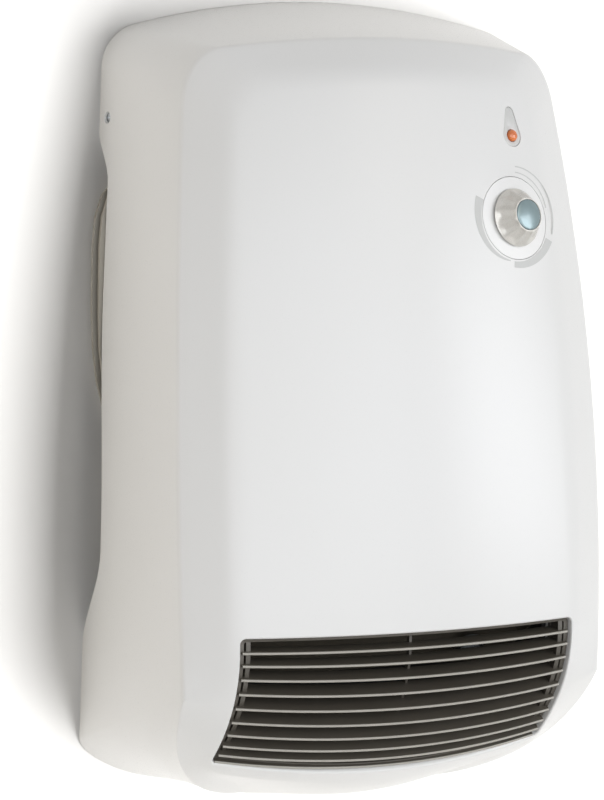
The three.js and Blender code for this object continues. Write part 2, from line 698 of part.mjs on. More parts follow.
function makeLampBody() {
  const holder = rod([0, 6 + GAP, 0], [0, 20, 0], LENS_RADIUS + 0.8, 12);
  const flange = rod([0, CASING_WALL + 1.6, 0], [0, CASING_WALL + GAP, 0], LAMP_FLANGE_RADIUS, 12);
  const tube = rod([0, CASING_WALL + 1, 0], [0, 8, 0], LENS_RADIUS + 1.3, 12);
  const bore = rod([0, 0, 0], [0, 6 + GAP, 0], LENS_RADIUS + GAP, 16);
  return placed(cut(join(holder, flange, tube), bore), lampAt, lampNormal);
}

function makeSideScrew(side) {
  const x = sideHalf(SIDE_SCREW_DEPTH, SIDE_SCREW_HEIGHT);
  const y = -SIDE_SCREW_DEPTH;
  const z = SIDE_SCREW_HEIGHT;
  const seat = x - 1.1 + GAP;
  const head = rod([side * seat, y, z], [side * (seat + 1.1), y, z], SIDE_SCREW_HEAD, 18, SIDE_SCREW_HEAD * 0.8);
  const shank = rod([side * (seat + 0.5), y, z], [side * (REAR_HALF + 1.5), y, z], SIDE_SCREW_RADIUS, 14);
  const slots = [0, Math.PI / 2].map((a) => {
    const w = [0.35 + 1.2 * Math.abs(Math.cos(a)), 0.35 + 1.2 * Math.abs(Math.sin(a))];
    const from = side > 0 ? [seat + 0.6, seat + 3] : [-seat - 3, -seat - 0.6];
    return box(from, [y - w[0], y + w[0]], [z - w[1], z + w[1]]);
  });
  return cut(join(head, shank), ...slots);
}

// Rear housing, its intakes and the bracket that it hangs on

function rearOutline(inset) {
  const points = [];
  const half = REAR_HALF - inset;
  const corner = 24;
  const round = (cx, cz, from) => {
    for (let i = 0; i <= 5; i++) {
      const a = from - (Math.PI / 2) * (i / 5);
      points.push([cx + (corner - inset) * Math.cos(a), cz + (corner - inset) * Math.sin(a)]);
    }
  };
  round(half - corner + inset, REAR_TOP - corner, Math.PI / 2);
  round(half - corner + inset, REAR_FOOT + corner, 0);
  round(-half + corner - inset, REAR_FOOT + corner, -Math.PI / 2);
  round(-half + corner - inset, REAR_TOP - corner, -Math.PI);
  return points.reverse();
}

// One crescent rib of a side intake, in a plane parallel to the wall: full at the top, tapering to its foot.
function intakeRib(side, depth, reach) {
  const tall = INTAKE_TOP - INTAKE_FOOT;
  const widest = INTAKE_FOOT + 0.56 * tall;
  const base = REAR_HALF - REAR_SHEET;
  const points = [];
  const count = 12;
  for (let i = 0; i <= count; i++) {
    const z = INTAKE_FOOT + (tall * (1 - Math.cos((Math.PI * i) / count))) / 2;
    const t = z > widest ? (z - widest) / (INTAKE_TOP - widest) : (widest - z) / (widest - INTAKE_FOOT);
    const share = z > widest ? (1 - t ** 5) ** 0.5 : (1 - t ** 2.6) ** 0.7;
    points.push([base + (reach - base) * share, z]);
  }
  points.push([base - 0.5, INTAKE_TOP], [base - 0.5, INTAKE_FOOT]);
  const outline = points.map(([x, z]) => [side * x, z]);
  return alongY(side > 0 ? outline : outline.reverse(), -depth - INTAKE_RIB, -depth);
}

function makeRearHousing() {
  const back = -REAR_BACK;
  const front = back - REAR_WALL_DEPTH;
  const tray = alongY(rearOutline(0), front, back);
  const inside = alongY(rearOutline(REAR_SHEET), front - 2, back - REAR_SHEET);
  const windows = [-1, 1].map((side) => {
    const x = [side * (REAR_HALF - REAR_SHEET - 4), side * (REAR_HALF + 4)].sort((a, b) => a - b);
    return box(x, [front + 3, back - REAR_SHEET], [INTAKE_FOOT + 6, INTAKE_TOP - 6]);
  });
  const ribs = [];
  for (const side of [-1, 1]) {
    for (let i = 0; i < INTAKE_RIBS; i++) {
      const depth = REAR_BACK + INTAKE_PITCH * i;
      const reach = i < 2 ? INTAKE_REACH - 1.2 * i : sideHalf(depth, INTAKE_TOP, CASING_WALL + 1.2);
      ribs.push(intakeRib(side, depth, reach));
    }
    for (let i = 0; i < INTAKE_POSTS; i++) {
      const z = INTAKE_FOOT + ((INTAKE_TOP - INTAKE_FOOT) * (i + 1)) / (INTAKE_POSTS + 1);
      const reach = sideHalf(REAR_WALL_DEPTH, z, CASING_WALL + 4);
      const x = [side * (REAR_HALF - REAR_SHEET), side * reach].sort((a, b) => a - b);
      ribs.push(box(x, [-REAR_BACK - INTAKE_PITCH * (INTAKE_RIBS - 1) - 1, -REAR_BACK - 0.5], [z - 1.2, z + 1.2]));
    }
  }
  const ears = [-1, 1].map((side) => {
    const reach = sideHalf(SIDE_SCREW_DEPTH, SIDE_SCREW_HEIGHT) + 2;
    const x = [side * (REAR_HALF - REAR_SHEET), side * reach].sort((a, b) => a - b);
    return box(x, [-SIDE_SCREW_DEPTH - 6, -REAR_BACK], [SIDE_SCREW_HEIGHT - 8, SIDE_SCREW_HEIGHT + 8]);
  });
  const screwHoles = [-1, 1].map((side) => {
    const at = (x) => [side * x, -SIDE_SCREW_DEPTH, SIDE_SCREW_HEIGHT];
    return rod(at(REAR_HALF), at(REAR_HALF + 30), SIDE_SCREW_RADIUS + GAP, 14);
  });
  const feet = [-1, 1].map((side) => {
    const x = [side * 70 - 9, side * 70 + 9];
    return box(x, [back - 1, 0], [REAR_FOOT + 8, REAR_FOOT + 26]);
  });
  const hookSlot = box([-BRACKET_HALF - 1, BRACKET_HALF + 1], [back - 4, back + 1], [hookFoot() - 0.6, hookFoot() + 3.2]);
  const wallHoles = [-1, 1].map((side) =>
    rod([side * WALL_SCREW_X, back + 2, wallScrewHeight()], [side * WALL_SCREW_X, back - 5, wallScrewHeight()], 6, 20),
  );
  const cable = rod([CABLE_X, 4, CABLE_HEIGHT], [CABLE_X, -20, CABLE_HEIGHT], CABLE_HOLE, 20);
  return cut(join(tray, ...feet), inside, ...windows, hookSlot, ...wallHoles, cable)
    .add(join(...ribs, join(...ears).intersect(casingSolid(CASING_WALL + GAP, 6))))
    .subtract(join(...screwHoles));
}

function hookFoot() {
  return BRACKET_HEIGHT + BRACKET_TALL / 2 - BRACKET_HOOK;
}

function wallScrewHeight() {
  return BRACKET_HEIGHT - 8;
}

// Sheet-steel bracket: its top edge is folded forward through the rear housing's slot and up behind its sheet.
function makeBracket() {
  const low = BRACKET_HEIGHT - BRACKET_TALL / 2;
  const top = hookFoot() + BRACKET_SHEET;
  const fold = [
    [0, low],
    [-BRACKET_SHEET, low],
    [-BRACKET_SHEET, hookFoot()],
    [-REAR_BACK - REAR_SHEET - GAP - BRACKET_SHEET, hookFoot()],
    [-REAR_BACK - REAR_SHEET - GAP - BRACKET_SHEET, top + BRACKET_HOOK],
    [-REAR_BACK - REAR_SHEET - GAP, top + BRACKET_HOOK],
    [-REAR_BACK - REAR_SHEET - GAP, top],
    [0, top],
  ];
  const sheet = alongX(fold.reverse(), -BRACKET_HALF, BRACKET_HALF);
  const holes = [-1, 1].map((side) =>
    rod([side * WALL_SCREW_X, 3, wallScrewHeight()], [side * WALL_SCREW_X, -3, wallScrewHeight()], WALL_SCREW_RADIUS + GAP, 18),
  );
  const slots = [-1, 1].map((side) => box([side * 30 - 9, side * 30 + 9], [-3, 1], [low + 8, low + 14]));
  return cut(sheet, ...holes, ...slots);
}

function makeWallScrew(side) {
  const x = side * WALL_SCREW_X;
  const z = wallScrewHeight();
  const seat = -BRACKET_SHEET - GAP;
  const head = rod([x, seat, z], [x, seat - 2.6, z], 4.4, 16, 3);
  const shank = rod([x, seat - 0.5, z], [x, WALL_SCREW_LENGTH - 6, z], WALL_SCREW_RADIUS, 10);
  const tip = rod([x, WALL_SCREW_LENGTH - 6.5, z], [x, WALL_SCREW_LENGTH, z], WALL_SCREW_RADIUS, 10, 0.4);
  const slot = box([x - 3.2, x + 3.2], [seat - 3, seat - 1.4], [z - 0.5, z + 0.5]);
  const cross = box([x - 0.5, x + 0.5], [seat - 3, seat - 1.4], [z - 3.2, z + 3.2]);
  return cut(join(head, shank, tip), slot, cross);
}

function makeGrommet() {
  const back = REAR_BACK;
  const r = CABLE_HOLE - GAP;
  const profile = [
    [3.6, -0.3],
    [r, -0.3],
    [r, back + REAR_SHEET + GAP],
    [r + 2.4, back + REAR_SHEET + GAP],
    [r + 2.4, back + REAR_SHEET + 2.2],
    [3.6, back + REAR_SHEET + 2.2],
    [3.6, -0.3],
  ].map(([a, b]) => new THREE.Vector2(a, -b));
  return solid(new THREE.LatheGeometry(profile.reverse(), 16)).translate([CABLE_X, -0.6, CABLE_HEIGHT]);
}

// Fan, its housing and its motor

const fanAxis = [-FAN_DEPTH, FAN_HEIGHT];

// An outline in the order that an extrusion wants, with its inside on the left.
function turnedLeft(outline) {
  const area = outline.reduce((sum, [a, b], i) => {
    const [c, d] = outline[(i + 1) % outline.length];
    return sum + a * d - c * b;
  }, 0);
  return area < 0 ? outline.reverse() : outline;
}

// A sheet of the given thickness along a curve through [y, z] points.
function bentSheet(points, thick, x0, x1, steps = 18) {
  const path = new THREE.SplineCurve(points.map(([a, b]) => new THREE.Vector2(a, b)));
  const mid = path.getPoints(steps);
  const left = [];
  const right = [];
  mid.forEach((p, i) => {
    const a = mid[Math.max(0, i - 1)];
    const b = mid[Math.min(steps, i + 1)];
    const n = new THREE.Vector2(b.y - a.y, a.x - b.x).normalize().multiplyScalar(thick / 2);
    left.push([p.x + n.x, p.y + n.y]);
    right.push([p.x - n.x, p.y - n.y]);
  });
  return alongX(turnedLeft([...left, ...right.reverse()]), x0, x1);
}

const ductFoot = facePoint(CHEEK_HALF + CHEEK_SHEET, OUTLET_FOOT + 3, GRILLE_DEPTH + DUCT_GAP);
const ductTop = facePoint(CHEEK_HALF + CHEEK_SHEET, OUTLET_TOP + OUTLET_LIP + 4, CASING_WALL + 2.5);

function makeFanHousing() {
  const [cy, cz] = fanAxis;
  const r = FAN_RADIUS;
  const wall = bentSheet(
    [
      [cy + r * 0.35, cz + r + 12],
      [cy + r + 3, cz + r * 0.72],
      [cy + r + 5.5, cz],
      [cy + r + 4.5, cz - r],
      [cy + r - 6, cz - r * 2.1],
      [cy + r - 24, cz - r * 3.3],
      [(cy + ductFoot[1]) / 2, (cz - r * 4.4 + ductFoot[2]) / 2],
      [ductFoot[1] + 2, ductFoot[2]],
    ],
    SCROLL_SHEET,
    -CHEEK_HALF - 1,
    CHEEK_HALF + 1,
  );
  const outline = [
    [cy + r * 0.2, cz + r + 14],
    [cy + r + 8, cz + r * 0.8],
    [cy + r + 9, cz - r],
    [cy + r - 4, cz - r * 2.6],
    [cy + r - 18, cz - r * 3.6],
    [ductFoot[1] + 12, ductFoot[2] - 4],
    ...[0, 0.25, 0.5, 0.75, 1].map((t) => {
      const v = OUTLET_FOOT + 3 + (OUTLET_TOP - OUTLET_FOOT - 4) * t;
      return facePoint(CHEEK_HALF + CHEEK_SHEET, v, GRILLE_DEPTH + DUCT_GAP - 1).slice(1);
    }),
    [ductTop[1], ductTop[2] + 1],
    [cy - r - 9, cz - r * 0.1],
    [cy - r - 3, cz + r * 0.9],
    [cy - r * 0.3, cz + r + 14],
  ];
  const face = turnedLeft(outline);
  const cheeks = [-1, 1].map((side) => {
    const x = [side * CHEEK_HALF, side * (CHEEK_HALF + CHEEK_SHEET)].sort((a, b) => a - b);
    const bush = rod([x[0] - 1, cy, cz], [x[1] + 1, cy, cz], BUSH_RADIUS + GAP, 18);
    return cut(alongX(face, x[0], x[1]), bush);
  });
  const feet = [-1, 1].flatMap((side) =>
    [FAN_HEIGHT + 22, FAN_HEIGHT - 52].map((z) => {
      const x = [side * (CHEEK_HALF + 0.6), side * (CHEEK_HALF + 13)].sort((a, b) => a - b);
      return box(x, [-REAR_BACK - REAR_SHEET - GAP - 2, -REAR_BACK - REAR_SHEET - GAP], [z - 8, z + 8]);
    }),
  );
  const stems = [-1, 1].flatMap((side) =>
    [FAN_HEIGHT + 22, FAN_HEIGHT - 52].map((z) => {
      const x = [side * (CHEEK_HALF + 0.2), side * (CHEEK_HALF + CHEEK_SHEET)].sort((a, b) => a - b);
      return box(x, [cy + r - 4, -REAR_BACK - REAR_SHEET - GAP], [z - 8, z + 8]);
    }),
  );
  return join(wall, ...cheeks, ...feet, ...stems);
}

function makeTongue() {
  const [cy, cz] = fanAxis;
  const r = FAN_RADIUS;
  return bentSheet(
    [
      [ductTop[1] + 4, ductTop[2] + 1],
      [(ductTop[1] + cy - r) / 2 - 2, (ductTop[2] + cz - r * 0.7) / 2],
      [cy - r - 3, cz - r * 0.72],
      [cy - r - 4.4, cz - r * 0.3],
      [cy - r - 12, cz - r * 0.1],
      [cy - r - 18, cz - r * 0.5],
    ],
    SCROLL_SHEET,
    -CHEEK_HALF + GAP,
    CHEEK_HALF - GAP,
    14,
  );
}

// The cross-flow rotor: forward-curved blades between end discs, with a middle disc.
function makeRotor() {
  const [cy, cz] = fanAxis;
  const half = FAN_LENGTH / 2;
  const inner = FAN_RADIUS - 9;
  const blade = [];
  const steps = 2;
  for (let i = 0; i <= steps; i++) {
    const t = i / steps;
    const a = 0.34 * Math.sin(t * 1.5);
    blade.push([inner + (FAN_RADIUS - 0.3 - inner) * t, a, 1]);
  }
  const edge = [];
  for (const sign of [1, -1]) {
    const list = sign > 0 ? blade : [...blade].reverse();
    for (const [rad, a] of list) {
      const shift = (sign * FAN_BLADE) / 2 / rad;
      edge.push([rad * Math.cos(a + shift), rad * Math.sin(a + shift)]);
    }
  }
  const profile = edge.reverse();
  const one = alongX(profile, ROTOR_DISC / 2 - half, half - ROTOR_DISC / 2);
  const bodies = [];
  for (let i = 0; i < FAN_BLADES; i++) {
    const turn = new THREE.Matrix4().makeRotationX((2 * Math.PI * i) / FAN_BLADES);
    bodies.push(one.transform(turn.toArray()));
  }
  const disc = (x) => rod([x, 0, 0], [x + ROTOR_DISC, 0, 0], FAN_RADIUS + 0.6, 24);
  const hub = (x, w) => rod([x, 0, 0], [x + w, 0, 0], FAN_SHAFT + 4, 16);
  const ends = [disc(-half), disc(half - ROTOR_DISC), hub(-half, 8), hub(half - 8, 8)];
  const middle = cut(disc(-ROTOR_DISC / 2), rod([-4, 0, 0], [4, 0, 0], inner - 1, 20));
  const bore = rod([-half - 2, 0, 0], [half + 2, 0, 0], FAN_SHAFT + GAP, 12);
  return cut(join(...bodies, ...ends, middle), bore).translate([0, cy, cz]);
}

function makeShaft() {
  const [cy, cz] = fanAxis;
  const far = MOTOR_NEAR + MOTOR_STACK + 8 + GAP;
  return rod([-CHEEK_HALF - CHEEK_SHEET - 4, cy, cz], [far, cy, cz], FAN_SHAFT, 12);
}

function makeBush(side) {
  const [cy, cz] = fanAxis;
  const x0 = side * (CHEEK_HALF - 1.6);
  const x1 = side * (CHEEK_HALF + CHEEK_SHEET + 1.6);
  const body = rod([x0, cy, cz], [x1, cy, cz], BUSH_RADIUS, 18);
  const [a, b] = [x0, x1].sort((p, q) => p - q);
  const bore = rod([a - 1, cy, cz], [b + 1, cy, cz], FAN_SHAFT + GAP, 12);
  return cut(body, bore);
}

// A square stack of laminations with a round bore and a window for the coil at its foot.
function makeStator() {
  const [cy, cz] = fanAxis;
  const h = MOTOR_WIDTH / 2;
  const low = cz - h - 16;
  const stack = [
    [cy - h, low],
    [cy + h, low],
    [cy + h, cz + h * 0.5],
    [cy + h * 0.5, cz + h],
    [cy - h * 0.5, cz + h],
    [cy - h, cz + h * 0.5],
  ];
  const x0 = MOTOR_NEAR + MOTOR_PLATE + 2.5;
  const x1 = x0 + MOTOR_STACK;
  const windows = [-1, 1].map((side) => {
    const y = [cy + side * 6, cy + side * (h - 7)].sort((a, b) => a - b);
    return box([x0 - 1, x1 + 1], y, [low + 9, cz - h + 3]);
  });
  const bore = rod([x0 - 1, cy, cz], [x1 + 1, cy, cz], MOTOR_BORE, 20);
  return cut(alongX(stack, x0, x1), bore, ...windows);
}

function makeCoil() {
  const [cy, cz] = fanAxis;
  const h = MOTOR_WIDTH / 2;
  const x0 = MOTOR_NEAR + MOTOR_PLATE + 2.5;
  const z = [cz - h - 16 + 9 + GAP, cz - h + 3 - GAP];
  const outer = box([x0 - 2, x0 + MOTOR_STACK + 2], [cy - h + 7 + GAP, cy + h - 7 - GAP], z);
  const core = box([x0 - GAP, x0 + MOTOR_STACK + GAP], [cy - 6 - GAP, cy + 6 + GAP], [z[0] - 1, z[1] + 1]);
  return cut(outer, core);
}

function makeMotorRotor() {
  const [cy, cz] = fanAxis;
  const x0 = MOTOR_NEAR + MOTOR_PLATE + 2;
  const body = rod([x0, cy, cz], [x0 + MOTOR_STACK + 1, cy, cz], MOTOR_BORE - RUNNING, 20);
  return cut(body, rod([x0 - 1, cy, cz], [x0 + MOTOR_STACK + 2, cy, cz], FAN_SHAFT + GAP, 12));
}

// Bearing plate between the cheek and the stack: a strap with ears on the stack's screws.
function makeMotorBracket() {
  const [cy, cz] = fanAxis;
  const x0 = CHEEK_HALF + CHEEK_SHEET + 2.2;
  const x1 = MOTOR_NEAR + MOTOR_PLATE + 2.5 - GAP;
  const h = MOTOR_WIDTH / 2;
  const plate = alongX(
    [
      [cy - h, cz - 7],
      [cy + h, cz - 7],
      [cy + h, cz + 7],
      [cy - h, cz + 7],
    ],
    x0,
    x0 + MOTOR_PLATE,
  );
  const ears = [-1, 1].map((side) => {
    const y = [cy + side * (h - 5), cy + side * h].sort((a, b) => a - b);
    return box([x0, x1], y, [cz - 7, cz + 7]);
  });
  const pads = [-1, 1].map((side) => {
    const y = [cy + side * (h - 5), cy + side * h].sort((a, b) => a - b);
    return box([CHEEK_HALF + CHEEK_SHEET + GAP, x0 + 0.5], y, [cz - 4, cz + 4]);
  });
  const cup = rod([x0, cy, cz], [x0 + 3, cy, cz], 6.5, 16);
  const bore = rod([x0 - 1, cy, cz], [x0 + 5, cy, cz], FAN_SHAFT + GAP, 12);
  return cut(join(plate, ...ears, ...pads, cup), bore);
}

// Heating element, modelled level and then turned into the air's way

const elementTurn = (body) => {
  const [, y, z] = facePoint(0, (OUTLET_TOP + OUTLET_FOOT) / 2);
  const m = new THREE.Matrix4().makeRotationX(THREE.MathUtils.degToRad(ELEMENT_TILT));
  return body.transform(m.toArray()).translate([0, y + ELEMENT_BACK, z + ELEMENT_LIFT]);
};
const ELEMENT_HALF = CHEEK_HALF - GAP; // its end plates lie against the cheeks

function ribbonZ(row) {
  return -ELEMENT_ACROSS / 2 + (ELEMENT_ACROSS * (row + 0.5)) / RIBBON_ROWS;
}

// End plates joined by two long cross strips per row, notched for the ribbons that they carry.
function makeElementFrame() {
  const t = ELEMENT_SHEET;
  const y = [-ELEMENT_DEEP / 2, ELEMENT_DEEP / 2];
  const z = ELEMENT_ACROSS / 2;
  const bodies = [-1, 1].map((side) => {
    const x = [side * ELEMENT_HALF, side * (ELEMENT_HALF - t)].sort((a, b) => a - b);
    return box(x, y, [-z - 3, z + 3]);
  });
  for (const end of [-1, 1]) {
    const rail = [end * (z + 2), end * (z + 2 + t)].sort((a, b) => a - b);
    bodies.push(box([-ELEMENT_HALF, ELEMENT_HALF], y, rail));
  }
  for (let i = 0; i < RIBBON_ROWS; i++) {
    const mid = ribbonZ(i);
    const strip = box([-ELEMENT_HALF, ELEMENT_HALF], y, [mid - t / 2, mid + t / 2]);
    bodies.push(strip);
  }
  return elementTurn(join(...bodies));
}

// A zigzag ribbon lying on one strip of the frame, between its cross plates.
function makeRibbon(row) {
  const gap = GAP + ELEMENT_SHEET / 2;
  const foot = ribbonZ(row) + gap;
  const top = foot + (ELEMENT_ACROSS / RIBBON_ROWS - ELEMENT_SHEET - 2 * GAP) * 0.62;
  const reach = ELEMENT_HALF - ELEMENT_SHEET - GAP;
  const count = RIBBON_WAVES;
  const lean = RIBBON_THICK / 2 / Math.sin(Math.atan2(top - foot, (2 * reach) / count));
  const upper = [];
  const lower = [];
  for (let i = 0; i <= count; i++) {
    const x = -reach + (2 * reach * i) / count;
    const low = i % 2 === 0;
    lower.push([x, low ? foot : top - 1.6 * lean]);
    upper.push([x, low ? foot + 1.6 * lean : top]);
  }
  const outline = [...lower, ...upper.reverse()];
  return elementTurn(alongY(outline, -RIBBON_WIDE / 2, RIBBON_WIDE / 2));
}

function makeCutout() {
  const y = -ELEMENT_DEEP / 2 - GAP;
  const x = 50;
  const disc = rod([x, y, 0], [x, y - 4, 0], 7.5, 18);
  const top = rod([x, y - 3, 0], [x, y - 8, 0], 5.5, 14);
  const blades = [-1, 1].map((side) => {
    const a = [x + side * 4, x + side * 11].sort((p, q) => p - q);
    return box(a, [y - 6.8, y - 6], [-2.4, 2.4]);
  });
  return elementTurn(join(disc, top, ...blades));
}

// Chassis pieces

// A sheet-steel post that stands on the rear housing and carries the thermostat.
function makeThermostatBracket() {
  const at = onKnobAxis(-(THERMOSTAT_BACK + THERMOSTAT_DEEP + GAP));
  const back = -REAR_BACK - REAR_SHEET - GAP;
  const t = 1.2;
  const foot = box([KNOB_X - 26, KNOB_X + 2], [back - t, back], [KNOB_HEIGHT - 40, KNOB_HEIGHT - 14]);
  const rise = box([KNOB_X - 26, KNOB_X + 2], [at[1] + 7, back], [KNOB_HEIGHT - 15.2, KNOB_HEIGHT - 14]);
  const turn = (body) => placed(body, at, knobNormal);
  const seat = turn(box([-14, 12], [0, t], [-14, 12]));
  const link = box([KNOB_X - 26, KNOB_X + 2], [at[1] - 4, at[1] + 9], [KNOB_HEIGHT - 15.2, KNOB_HEIGHT - 14]);
  const behind = turn(box([-60, 60], [-60, 0], [-60, 60]));
  return cut(join(foot, rise, link, seat), behind);
}

function sensorPath() {
  const start = placedPoint([0, THERMOSTAT_BACK + THERMOSTAT_DEEP / 2, -THERMOSTAT_SIZE / 2 - GAP]);
  return new THREE.CatmullRomCurve3([
    start,
    start.clone().add(new THREE.Vector3(0, 1, -8)),
    new THREE.Vector3(30, -62, 262),
    new THREE.Vector3(0, -50, 246),
    new THREE.Vector3(-24, -46, 236),
  ]);
}

function sensorBulb(radius, longer = 0) {
  const path = sensorPath();
  const way = path.getTangent(1);
  const from = path.getPoint(1).addScaledVector(way, -1 - longer);
  const to = path.getPoint(1).addScaledVector(way, BULB_LENGTH + longer);
  return rod(from.toArray(), to.toArray(), radius, 14);
}

function makeSensor() {
  const section = shape(Array.from({ length: 6 }, (_, i) => [Math.cos((i * Math.PI) / 3), Math.sin((i * Math.PI) / 3)]));
  const tube = new THREE.ExtrudeGeometry(section, { steps: 18, bevelEnabled: false, extrudePath: sensorPath() });
  return join(solid(tube), sensorBulb(BULB_RADIUS));
}

function placedPoint(p) {
  const out = new THREE.Vector3(...knobNormal);
  const turn = new THREE.Quaternion().setFromUnitVectors(new THREE.Vector3(0, -1, 0), out);
  return new THREE.Vector3(...p).applyQuaternion(turn).add(new THREE.Vector3(...knobAt));
}

// A post that cradles the bulb.
function makeSensorClip() {
  const back = -REAR_BACK - REAR_SHEET - GAP;
  const path = sensorPath();
  const [x, y, z] = path.getPoint(1).addScaledVector(path.getTangent(1), BULB_LENGTH * 0.55).toArray();
  const post = box([x - 3.5, x + 3.5], [y, back], [z - 6, z + 6]);
  const foot = box([x - 8, x + 8], [back - 1.6, back], [z - 9, z + 9]);
  return cut(join(post, foot), sensorBulb(BULB_RADIUS + GAP, 8));
}

function makeTerminals() {
  const back = -REAR_BACK - REAR_SHEET - GAP;
  const [x0, x1] = [-96, -50];
  const z = [250, 270];
  const base = box([x0, x1], [back - 9, back], z);
  const ridges = [];
  for (let i = 0; i < 4; i++) {
    const x = x0 + 1.5 + (i * (x1 - x0)) / 4;
    ridges.push(box([x, x + (x1 - x0) / 4 - 3], [back - 17, back - 8], [z[0] + 3, z[1] - 3]));
  }
  const holes = ridges.map((_, i) => {
    const x = x0 + (x1 - x0) * ((i + 0.5) / 4);
    return rod([x, back - 11, z[0] + 10], [x, back - 20, z[0] + 10], 2, 8);
  });
  return cut(join(base, ...ridges), ...holes);
}

function makeClamp() {
  const back = -REAR_BACK - REAR_SHEET - GAP;
  const x = CABLE_X - 16;
  const z = CABLE_HEIGHT + 22;
  const saddle = alongY(
    [
      [x - 12, z - 4],
      [x + 12, z - 4],
      [x + 12, z + 4],
      [x - 12, z + 4],
    ],
    back - 9,
    back,
  );
  const way = rod([x, back - 1, z - 8], [x, back - 1, z + 8], 4.4, 18);
  return cut(saddle, way);
}

// The scene

const white = new THREE.MeshStandardMaterial({ color: 0xf0efec, roughness: 0.32, metalness: 0 });
const louvreGrey = new THREE.MeshStandardMaterial({ color: 0x4a4640, roughness: 0.55, metalness: 0 });
const beige = new THREE.MeshStandardMaterial({ color: 0xa9a498, roughness: 0.6, metalness: 0 });
const pearl = new THREE.MeshStandardMaterial({ color: 0xc6c3bd, roughness: 0.3, metalness: 0.35 });
const aqua = new THREE.MeshStandardMaterial({ color: 0xb4c1be, roughness: 0.35, metalness: 0.1 });
const silver = new THREE.MeshStandardMaterial({ color: 0xdcdcda, roughness: 0.35, metalness: 0.1 });
const orange = new THREE.MeshStandardMaterial({ color: 0xe2661f, roughness: 0.2, metalness: 0 });
const steel = new THREE.MeshStandardMaterial({ color: 0xb9bcbd, roughness: 0.35, metalness: 0.9 });
const zinc = new THREE.MeshStandardMaterial({ color: 0x9fa2a3, roughness: 0.45, metalness: 0.8 });
const black = new THREE.MeshStandardMaterial({ color: 0x262524, roughness: 0.7, metalness: 0 });
const copper = new THREE.MeshStandardMaterial({ color: 0xa8622f, roughness: 0.45, metalness: 0.6 });
const mica = new THREE.MeshStandardMaterial({ color: 0xa39576, roughness: 0.7, metalness: 0 });
const nichrome = new THREE.MeshStandardMaterial({ color: 0x8b857c, roughness: 0.5, metalness: 0.8 });
const brass = new THREE.MeshStandardMaterial({ color: 0xb58d45, roughness: 0.4, metalness: 0.8 });
const cream = new THREE.MeshStandardMaterial({ color: 0xd8d2bf, roughness: 0.5, metalness: 0 });

const heater = new THREE.Group();
heater.position.z = -BRACKET_HEIGHT;

function show(name, body, material) {
  const mesh = body.getMesh();
  const g = new THREE.BufferGeometry();
  g.setAttribute("position", new THREE.BufferAttribute(new Float32Array(mesh.vertProperties), 3));
  g.setIndex(new THREE.BufferAttribute(new Uint32Array(mesh.triVerts), 1));
  g.computeVertexNormals();
  const part = new THREE.Mesh(g, material);
  part.name = name;
  heater.add(part);
}

show("front_casing", makeCasing(), white);
show("outlet_grille", makeGrille(), louvreGrey);
show("dial_ring", makeDialRing(), silver);
show("thermostat_knob", makeKnob(), pearl);
show("knob_cap", makeCap(), aqua);
show("thermostat_spindle", makeSpindle(), brass);
show("thermostat_body", makeThermostat(), cream);
show("thermostat_bracket", makeThermostatBracket(), zinc);
show("sensor_bulb", makeSensor(), copper);
show("sensor_clip", makeSensorClip(), black);
show("lamp_plate", makeLampPlate(), silver);
show("lamp_lens", makeLens(), orange);
show("lamp_body", makeLampBody(), black);
show("side_screw_left", makeSideScrew(-1), steel);
show("side_screw_right", makeSideScrew(1), steel);
show("rear_housing", makeRearHousing(), beige);
show("wall_bracket", makeBracket(), zinc);
show("wall_screw_left", makeWallScrew(-1), steel);
show("wall_screw_right", makeWallScrew(1), steel);
show("cable_grommet", makeGrommet(), black);
show("cable_clamp", makeClamp(), black);
show("terminal_block", makeTerminals(), cream);
show("fan_housing", makeFanHousing(), beige);
show("vortex_tongue", makeTongue(), beige);
show("fan_rotor", makeRotor(), black);
show("fan_shaft", makeShaft(), steel);
show("bush_left", makeBush(-1), black);
show("bush_right", makeBush(1), black);
show("motor_bracket", makeMotorBracket(), zinc);
show("motor_stator", makeStator(), zinc);
show("motor_coil", makeCoil(), copper);
show("motor_rotor", makeMotorRotor(), steel);
show("heater_frame", makeElementFrame(), mica);
for (let i = 0; i < RIBBON_ROWS; i++) show(`heater_ribbon_${i + 1}`, makeRibbon(i), nichrome);
show("thermal_cutout", makeCutout(), zinc);

export default heater;
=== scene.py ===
"""Looks of a bathroom wall fan heater: fine casing, louvres, dial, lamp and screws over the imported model."""

import math

import bmesh
import bpy
import numpy as np
from bpy.props import FloatProperty, FloatVectorProperty, IntProperty, PointerProperty
from mathutils import Matrix, Vector


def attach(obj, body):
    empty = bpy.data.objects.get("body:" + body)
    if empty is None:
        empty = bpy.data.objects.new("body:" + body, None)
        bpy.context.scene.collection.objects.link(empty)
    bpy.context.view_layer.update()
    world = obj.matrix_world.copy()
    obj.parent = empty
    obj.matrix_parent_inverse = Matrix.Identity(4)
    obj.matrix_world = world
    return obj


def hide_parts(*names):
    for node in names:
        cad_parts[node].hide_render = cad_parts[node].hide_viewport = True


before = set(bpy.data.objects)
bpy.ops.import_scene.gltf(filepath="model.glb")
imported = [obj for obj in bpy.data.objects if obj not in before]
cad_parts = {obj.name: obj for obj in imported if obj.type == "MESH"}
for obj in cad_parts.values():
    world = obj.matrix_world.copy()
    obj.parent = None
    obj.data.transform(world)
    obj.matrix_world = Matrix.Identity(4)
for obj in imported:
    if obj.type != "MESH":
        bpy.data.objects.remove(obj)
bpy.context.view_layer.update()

bl_info = {
    "name": "Wall fan heater",
    "version": (1, 0, 0),
    "blender": (4, 5, 0),
    "location": "View3D > Sidebar > Heater",
    "description": "Builds the visible pieces and finishes of a bathroom wall fan heater",
    "category": "Object",
}

